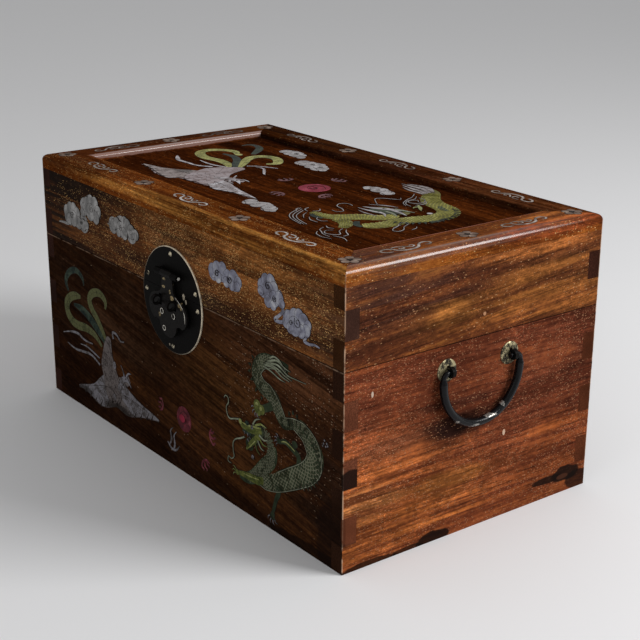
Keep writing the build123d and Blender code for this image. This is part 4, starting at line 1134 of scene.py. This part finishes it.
white_lines = [
    [(80, 14.7), (72, 19.5), (66, 24.5), (68.5, 30), (75, 34.5), (79.5, 38), (76, 41.5)],
    [(72, -3), (65.5, -2.5), (62, -7.5), (66.5, -13.5), (75, -15.5), (81, -19), (79.5, -24),
     (74, -24)],
    [(72, 59), (79, 50.5), (83, 42), (89, 33), (96, 29.5)],
    [(84, 53), (91, 53), (97, 47), (96, 40), (90, 37.5), (86.5, 42), (89, 47), (93, 45)],
    [(79, 55), (85, 48), (86, 40), (92, 33), (100, 31)], [(97, 50), (101, 44), (100, 36)],
    [(137.5, -3), (142, -11.5), (147.5, -16.5), (149, -22.5), (145, -24.5), (139.5, -18.5),
     (136.8, -10)],
    [(134, -1), (133.5, -8), (138, -14), (141, -20)], [(147, -4), (150, -7), (151, -12)],
    [(55, -39), (63.5, -55), (75, -63), (92, -66.5)],
    [(58.5, -40.5), (66.8, -54.6), (77.5, -61.6), (93.5, -65.2)],
    [(62, -42), (70, -54), (80, -60), (95, -63.5)], [(68.5, -44), (73, -50), (79.5, -54.5)],
    [(61, -48), (56, -44), (54, -40)], [(57.5, -33.5), (60, -39), (66, -41)],
    [(66, -29.5), (70, -33), (68, -38)], [(84, -45), (88, -49), (94, -49.5), (97, -46)],
    [(80, -50), (87, -54), (95, -54)],
    [(120, -50), (123.5, -56), (130.5, -60.5), (129, -65), (122, -67.5), (117, -63), (119, -58)],
    [(109, -59), (112, -64.5), (117, -67), (123, -70), (131, -70.5)],
    [(115, -69), (120, -73.5), (128, -75), (136.5, -73)],
    [(131, -67.5), (139.5, -65), (147, -67.5)], [(124, -50), (129, -54), (135, -57), (136, -62)],
    [(107, -55), (112, -57), (116, -55)]]
for line in white_lines:
    last = len(line) - 1
    widths = [0.4 + 0.55 * math.sin(math.pi * min(max(k / last, 0.12), 0.9))
              for k in range(last + 1)]
    shapes.append(band(1, *[(*point, width) for point, width in zip(line, widths)]))
shapes += fins(3, 17, 118, 21, 27.5, 33, 1.25, 2.4, 2.4, 2.2, 2.6)
inlay(
    "panel_dragon_limbs", on_panel, shapes,
    [panel_shell, bright_green, teal, deep_green, strand_shell, fan_shell], "lid",
    first=0.3, step=0.003)

# Scrolls and blossoms round the frame. Silver-white shell cut into open curls, and blossoms
# of five petals between them and at the corners.


def on_frame(x, y, rise):
    return Vector((x, y, frame_top + rise)) / 1000


frame_top = 218
scroll_lines = [
    [(-13.5, -3, 1), (-17.5, -2.6, 1.5), (-20.8, 0.4, 1.6), (-19.4, 3.4, 1.5), (-15, 4.2, 1.5),
     (-11.3, 2.1, 1.6), (-9, -2.1, 1.8), (-4.2, -4.6, 1.9), (2.5, -4.9, 1.9), (8.3, -2.9, 1.9),
     (11.2, 0.4, 1.7), (15, 3.2, 1.5), (19.2, 3.3, 1.6), (21.6, 0.4, 1.6), (18.6, -2.4, 1.4),
     (15.4, -1.2, 0.9)],
    [(-10, 4.4, 1.2), (-5, 4.6, 1.4), (-1.7, 2.1, 1.3), (-2.6, -0.8, 1.2), (-5.8, -0.3, 1.1),
     (-5.2, 1.6, 0.7)],
    [(-0.6, 3.9, 1), (1.7, 1.3, 1.2), (4.2, -0.8, 1.3), (7.5, 0.8, 1.2), (6.7, 3, 1.1),
     (4.2, 2.6, 0.7)]]
scroll_shell = nacre(
    "scroll_shell", (0, 0.22, 0.18, 0.155), (0.5, 0.46, 0.41, 0.38), (1, 0.78, 0.75, 0.72))
silver_shell = nacre(
    "silver_shell", (0, 0.092, 0.064, 0.0495), (0.5, 0.22, 0.16, 0.13), (1, 0.42, 0.34, 0.28),
    shine=0)
# A dimmer shell for most of the scrolls; over the left end it is painted darker as shade.
dim_shell = nacre(
    "dim_scroll_shell", (0, 0.13, 0.098, 0.082), (0.5, 0.29, 0.24, 0.21), (1, 0.55, 0.5, 0.47),
    shine=0, darkened=(((-200, 60, 218), (60, 90, 6), 0.55),))
places = [(x, -103, 0, 1) for x in (0, 134)] + [(-136, -103, 0, 2)]
places += [(x, 103, math.pi, 2) for x in (-134, 0, 136)]
places += [(195.5, y, math.pi / 2, 2) for y in (-55.5, 55.5)]
places += [(-195.5, y, -math.pi / 2, 2) for y in (-55.5, 55.5)]
shapes = []
for x, y, turn, finish in places:
    shapes += [band(finish, *turned(x, y, turn, line, wider=1.15)) for line in scroll_lines]
inlay(
    "frame_scrolls", on_frame, shapes, [scroll_shell, dim_shell], "lid", first=0.06,
    step=0.002)


def petal_tree():
    """Blossoms of round petals that overlap a little, one on each point."""
    tree, given = growing("blossoms", {"Petals": "Int", "Petal Reach": "Float",
                                       "Petal Radius": "Float"})
    ring = geo(tree, "MeshCircle", {"Vertices": given["Petals"],
                                    "Radius": given["Petal Reach"]})[0]
    petal = geo(tree, "MeshCircle", {"Vertices": 14, "Radius": given["Petal Radius"]},
                fill_type="NGON")[0]
    step_up = shade(tree, "Math", {0: geo(tree, "InputIndex")[0], 1: 0.000008},
                    operation="MULTIPLY")[0]
    stagger = shade(tree, "CombineXYZ", {2: step_up})[0]
    ring = geo(tree, "SetPosition", {0: ring, "Offset": stagger})[0]
    flower = geo(tree, "InstanceOnPoints", {"Points": ring, "Instance": petal})[0]
    flower = raised(tree, flower, given["Rise"])
    bed = geo(tree, "InstanceOnPoints", {"Points": given["Geometry"], "Instance": flower})[0]
    return realised(tree, bed, given["Finish"])


blossoms = petal_tree()
blossom_places = [(x, y) for x in (-67.5, 67.5) for y in (-103, 103)]
blossom_places += [(x, 0) for x in (-195.5, 195.5)]
blossom_places += [(x, y) for x in (-196, 196) for y in (-104, 104)]
beds = bpy.data.meshes.new("blossom_places")
beds.from_pydata([(x / 1000, y / 1000, frame_top / 1000) for x, y in blossom_places], [], [])
for name, reach, radius, rise, finish in (
        ("frame_blossom_glue", 0.005, 0.0034, 0.00004, glue_line),
        ("frame_blossoms", 0.005, 0.0029, 0.00009, silver_shell),
        ("frame_blossom_eyes", 0.0008, 0.0013, 0.00015, glue_line)):
    piece = grown(name, beds.copy(), blossoms, {
        "Petals": 5, "Petal Reach": reach, "Petal Radius": radius, "Rise": rise,
        "Finish": finish})
    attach(piece, "lid")

# Lock plate. A round of sheet brass in two halves, one on the lid and one on the body, with
# a black patina, a filed rim painted bright as a highlight towards its upper right, small
# glints painted on it, and round-headed brass nails that hold it.


def aged_brass(name, wear, patches=(), rim=None, gloss=0.42, bare=(0.62, 0.47, 0.24),
               patina=(0.0048, 0.0042, 0.0038), shine=0.02, metal=0.75):
    """Black patina over brass; wear is the bare share, and rim is (centre, inner radius)."""
    made, tree, surface, place = blank(name)
    crumbly = cloudy(tree, place, 210, 5, 0.7)
    fine = cloudy(tree, place, 900)
    mask = fade(tree, crumbly, 0.8 - 0.55 * wear, 0.92 - 0.55 * wear)
    # Patches are bare places: worn metal, and also glints and highlights painted on.
    for centre, radii, strength in patches:
        cover = spot(tree, place, centre, radii, crumbly, 0.8, 0.12)
        cover = times(tree, cover, fade(tree, fine, 0.36, 0.56, 0.15, 1))
        mask = calc(tree, "MAXIMUM", mask, times(tree, cover, strength))
    if rim:
        centre, inner = rim
        moved = vector(tree, "SUBTRACT", place, [c / 1000 for c in centre])
        flat = vector(tree, "MULTIPLY", moved, (1, 0, 1))
        far = vector(tree, "LENGTH", flat)
        edge = fade(tree, far, (inner - 0.3) / 1000, (inner + 0.1) / 1000)
        edge = times(tree, edge, fade(tree, crumbly, 0.25, 0.55, 0.35, 1))
        # The rim is painted brightest towards the upper right, where the light falls, as a
        # highlight.
        lit_side = vector(tree, "DOT_PRODUCT", flat, (0.65, 0, 0.75))
        edge = times(tree, edge, fade(tree, lit_side, -0.038, 0.012, 0.1, 1))
        mask = calc(tree, "MAXIMUM", mask, edge)
    smoke = tones(tree, fine, (0.3, *patina), (0.8, *darker(patina, 2.4)))
    warm = tones(tree, crumbly, (0.3, *darker(bare, 0.7)), (0.75, *bare))
    fit(tree, surface, {"Metallic": times(tree, mask, metal)})
    roughness = times(tree, fine, 0.16, gloss - 0.08)
    height = times(tree, crumbly, 0.6, fine)
    coat(tree, surface, tint(tree, mask, smoke, warm), roughness, shine, height, 0.35, 0.0003)
    return made


plate_rim_highlight = ((0, -120, 141.3), 42.05)
# The two bare places right of the hasp are glints painted as highlights; the others are wear.
plate_wear_and_painted_glints = (
    ((17.5, -121, 149), (1.6, 3, 2.6), 0.8), ((20.5, -121, 145), (1.1, 3, 1.8), 0.7),
    ((-16, -121, 161.5), (3, 3, 1), 0.35), ((-5, -121, 104), (1, 3, 1), 0.5))
plate_brass = aged_brass(
    "lock_plate_brass", 0.1, plate_wear_and_painted_glints, plate_rim_highlight, bare=(0.95, 0.82, 0.62),
    patina=(0.0032, 0.0029, 0.0027), shine=0.014, metal=0.3)
dress("lock_plate_upper", plate_brass)
dress("lock_plate_lower", plate_brass)
nail_brass = aged_brass("nail_brass", 0.7, gloss=0.34, bare=(0.64, 0.56, 0.4))
dress("lid_nails", nail_brass)
dress("body_nails", nail_brass)

# Hasp. A cast and filed brass strap on its own pin, worn to bare metal on its neck and its
# edges, with glints painted on its lobes and highlights painted along the top of its barrel,
# small ring marks punched into it, and a bright line painted down its right lobe as a
# highlight; the pin's head is painted near white as a highlight. Two staples come up through
# its slots.

# The first two bare places are glints painted as highlights and the last three are highlights
# painted along the top of the barrel; the others are worn metal.
hasp_wear_and_painted_glints = (
    ((6.6, -125, 145.3), (2.6, 6, 1.8), 0.95), ((17, -125, 142), (2, 6, 1.6), 0.9),
    ((-5, -125, 152), (2.6, 6, 1.3), 0.7), ((4, -125, 150), (1.2, 6, 1.6), 0.7),
    ((19.5, -125, 142), (1.2, 6, 3), 0.7), ((-12, -125, 128), (1.5, 6, 2), 0.4),
    ((12, -127, 156.5), (4, 6, 1.4), 0.7), ((-12, -127, 161), (3.5, 6, 1.2), 0.7),
    ((-4, -127, 158.5), (2.2, 6, 1), 0.6))
dress("hasp", aged_brass("hasp_brass", 0.16, hasp_wear_and_painted_glints, gloss=0.34, shine=0.03))
# The pin's head is painted near white, as a highlight.
dress("hasp_pin", aged_brass("hasp_pin_painted_highlight", 1, gloss=0.3, bare=(0.95, 0.92, 0.84), metal=0.2))
dress("lock_staples", aged_brass("staple_brass", 0.24, gloss=0.34, bare=(0.6, 0.5, 0.32)))
ring_and_highlight_brass = aged_brass("ring_mark_and_highlight_brass", 0.8, gloss=0.3, bare=(0.86, 0.82, 0.72), metal=0.4)
hasp_front = -125.1


def on_hasp(x, y, rise):
    return Vector((x, hasp_front - rise, y)) / 1000


shapes = [band(1, *[(*off(x, y, radius, math.tau * k / 12), 0.8) for k in range(13)])
          for x, y, radius in ((-8.4, 131.5, 2.1), (8.4, 131.5, 2.1), (-5.5, 118.5, 1.9))]
# A bright line painted down the right lobe as a highlight, in the finish of the rings.
shapes.append(band(1, (11.5, 147.5, 0.4), (16.5, 145, 0.9), (21, 142, 1), (24, 138, 1),
                   (25, 134, 0.9), (25, 130, 0.4)))
inlay(
    "hasp_ring_marks_and_highlight", on_hasp, shapes, [ring_and_highlight_brass], "hasp", first=0.25,
    step=0.01, glue=0.25)

# Handles. A bent bar with turned-in ends on each end board, swinging in two iron-black eyes,
# each on a domed and scalloped rosette of pale brass with black left in its hollows.

for side, reach in (("right", right_end), ("left", -right_end)):
    # The bail's bare places are small worn spots and highlights painted along its curve.
    bail_wear_and_painted_highlights = (((reach, 9, 88.5), (20, 5, 1), 0.8), ((reach, 20, 97), (20, 1.4, 4), 0.6),
                   ((reach, -24, 91), (20, 2.2, 1.6), 0.6), ((reach, -8, 85), (20, 5, 0.9), 0.7))
    dress(side + "_handle_bail", aged_brass(
        side + "_bail_iron", 0.14, bail_wear_and_painted_highlights, gloss=0.2, bare=(0.66, 0.62, 0.56),
        patina=(0.0024, 0.0024, 0.0028), shine=0.16))
    dress(side + "_handle_eyes", aged_brass(
        side + "_eye_iron", 0.35, gloss=0.36, bare=(0.45, 0.38, 0.26)))
    dress(side + "_handle_rosettes", aged_brass(
        side + "_rosette_brass", 0.62, gloss=0.4, bare=(0.42, 0.36, 0.21),
        patina=(0.016, 0.014, 0.011)))

# Rear hinges. Two leaves of brass each, let onto the boards with nails, and a steel pin
# through their knuckles; dull with age, and rubbed along the edges.

hinge_brass = aged_brass("hinge_brass", 0.3, bare=(0.42, 0.33, 0.18), patina=(0.02, 0.016, 0.012))
for side in ("left", "right"):
    dress(side + "_hinge_body_leaf", hinge_brass)
    dress(side + "_hinge_lid_leaf", hinge_brass)
    dress(side + "_hinge_pin", aged_brass(
        side + "_pin_steel", 0.5, gloss=0.36, bare=(0.4, 0.37, 0.33)))

# Camera, at the photograph's viewing angle: a long lens, low in front of the right corner.

eye = Vector((0.85438, -0.63031, 0.4698))
yaw, pitch, roll = [math.radians(a) for a in (142.6546, -19.1734, 0.356)]
ahead = Vector((math.cos(pitch) * math.cos(yaw), math.cos(pitch) * math.sin(yaw), math.sin(pitch)))
level = ahead.cross(Vector((0, 0, 1))).normalized()
upright = level.cross(ahead)
right = level * math.cos(roll) + upright * math.sin(roll)
up = upright * math.cos(roll) - level * math.sin(roll)
camera = stand("camera", bpy.data.cameras.new("camera"))
camera.matrix_world = Matrix.Translation(eye) @ Matrix((right, up, -ahead)).transposed().to_4x4()
focal_pixels, photo_pixels = 1360.79, 640
camera.data.sensor_width = 36
camera.data.lens = 36 * focal_pixels / photo_pixels
bpy.context.scene.camera = camera

# Pale floor and soft studio light: a broad lamp beyond the right end, a weaker one in front,
# and an even pale surround.

tile = bpy.data.meshes.new("floor")
tile.from_pydata([(x, y, -0.0002) for x, y in ((-12, -12), (12, -12), (12, 12), (-12, 12))], [],
                 [(0, 1, 2, 3)])
floor = stand("floor", tile)
paint = bpy.data.materials.new("pale_floor")
paint.use_nodes = True
fit(paint.node_tree, paint.node_tree.nodes["Principled BSDF"],
    {"Base Color": (0.82, 0.82, 0.83, 1), "Roughness": 0.9})
tile.materials.append(paint)


def lamp(name, place, width, height, watts):
    """A rectangular lamp that looks at the box."""
    light = bpy.data.lights.new(name, "AREA")
    light.shape = "RECTANGLE"
    light.size, light.size_y, light.energy = width, height, watts
    hung = stand(name, light)
    hung.location = place
    aim = Vector((0, 0, 0.1)) - Vector(place)
    hung.rotation_euler = aim.to_track_quat("-Z", "Y").to_euler()


lamp("key", (1.35, 0.95, 1.1), 0.9, 0.8, 29)
lamp("fill", (0.3, -2.2, 1.5), 1.6, 1.2, 5)
surround = bpy.data.worlds.new("studio")
bpy.context.scene.world = surround
surround.use_nodes = True
fit(surround.node_tree, surround.node_tree.nodes["Background"],
    {"Color": (1, 1, 1, 1), "Strength": 0.44})
bpy.context.scene.view_settings.view_transform = "Standard"
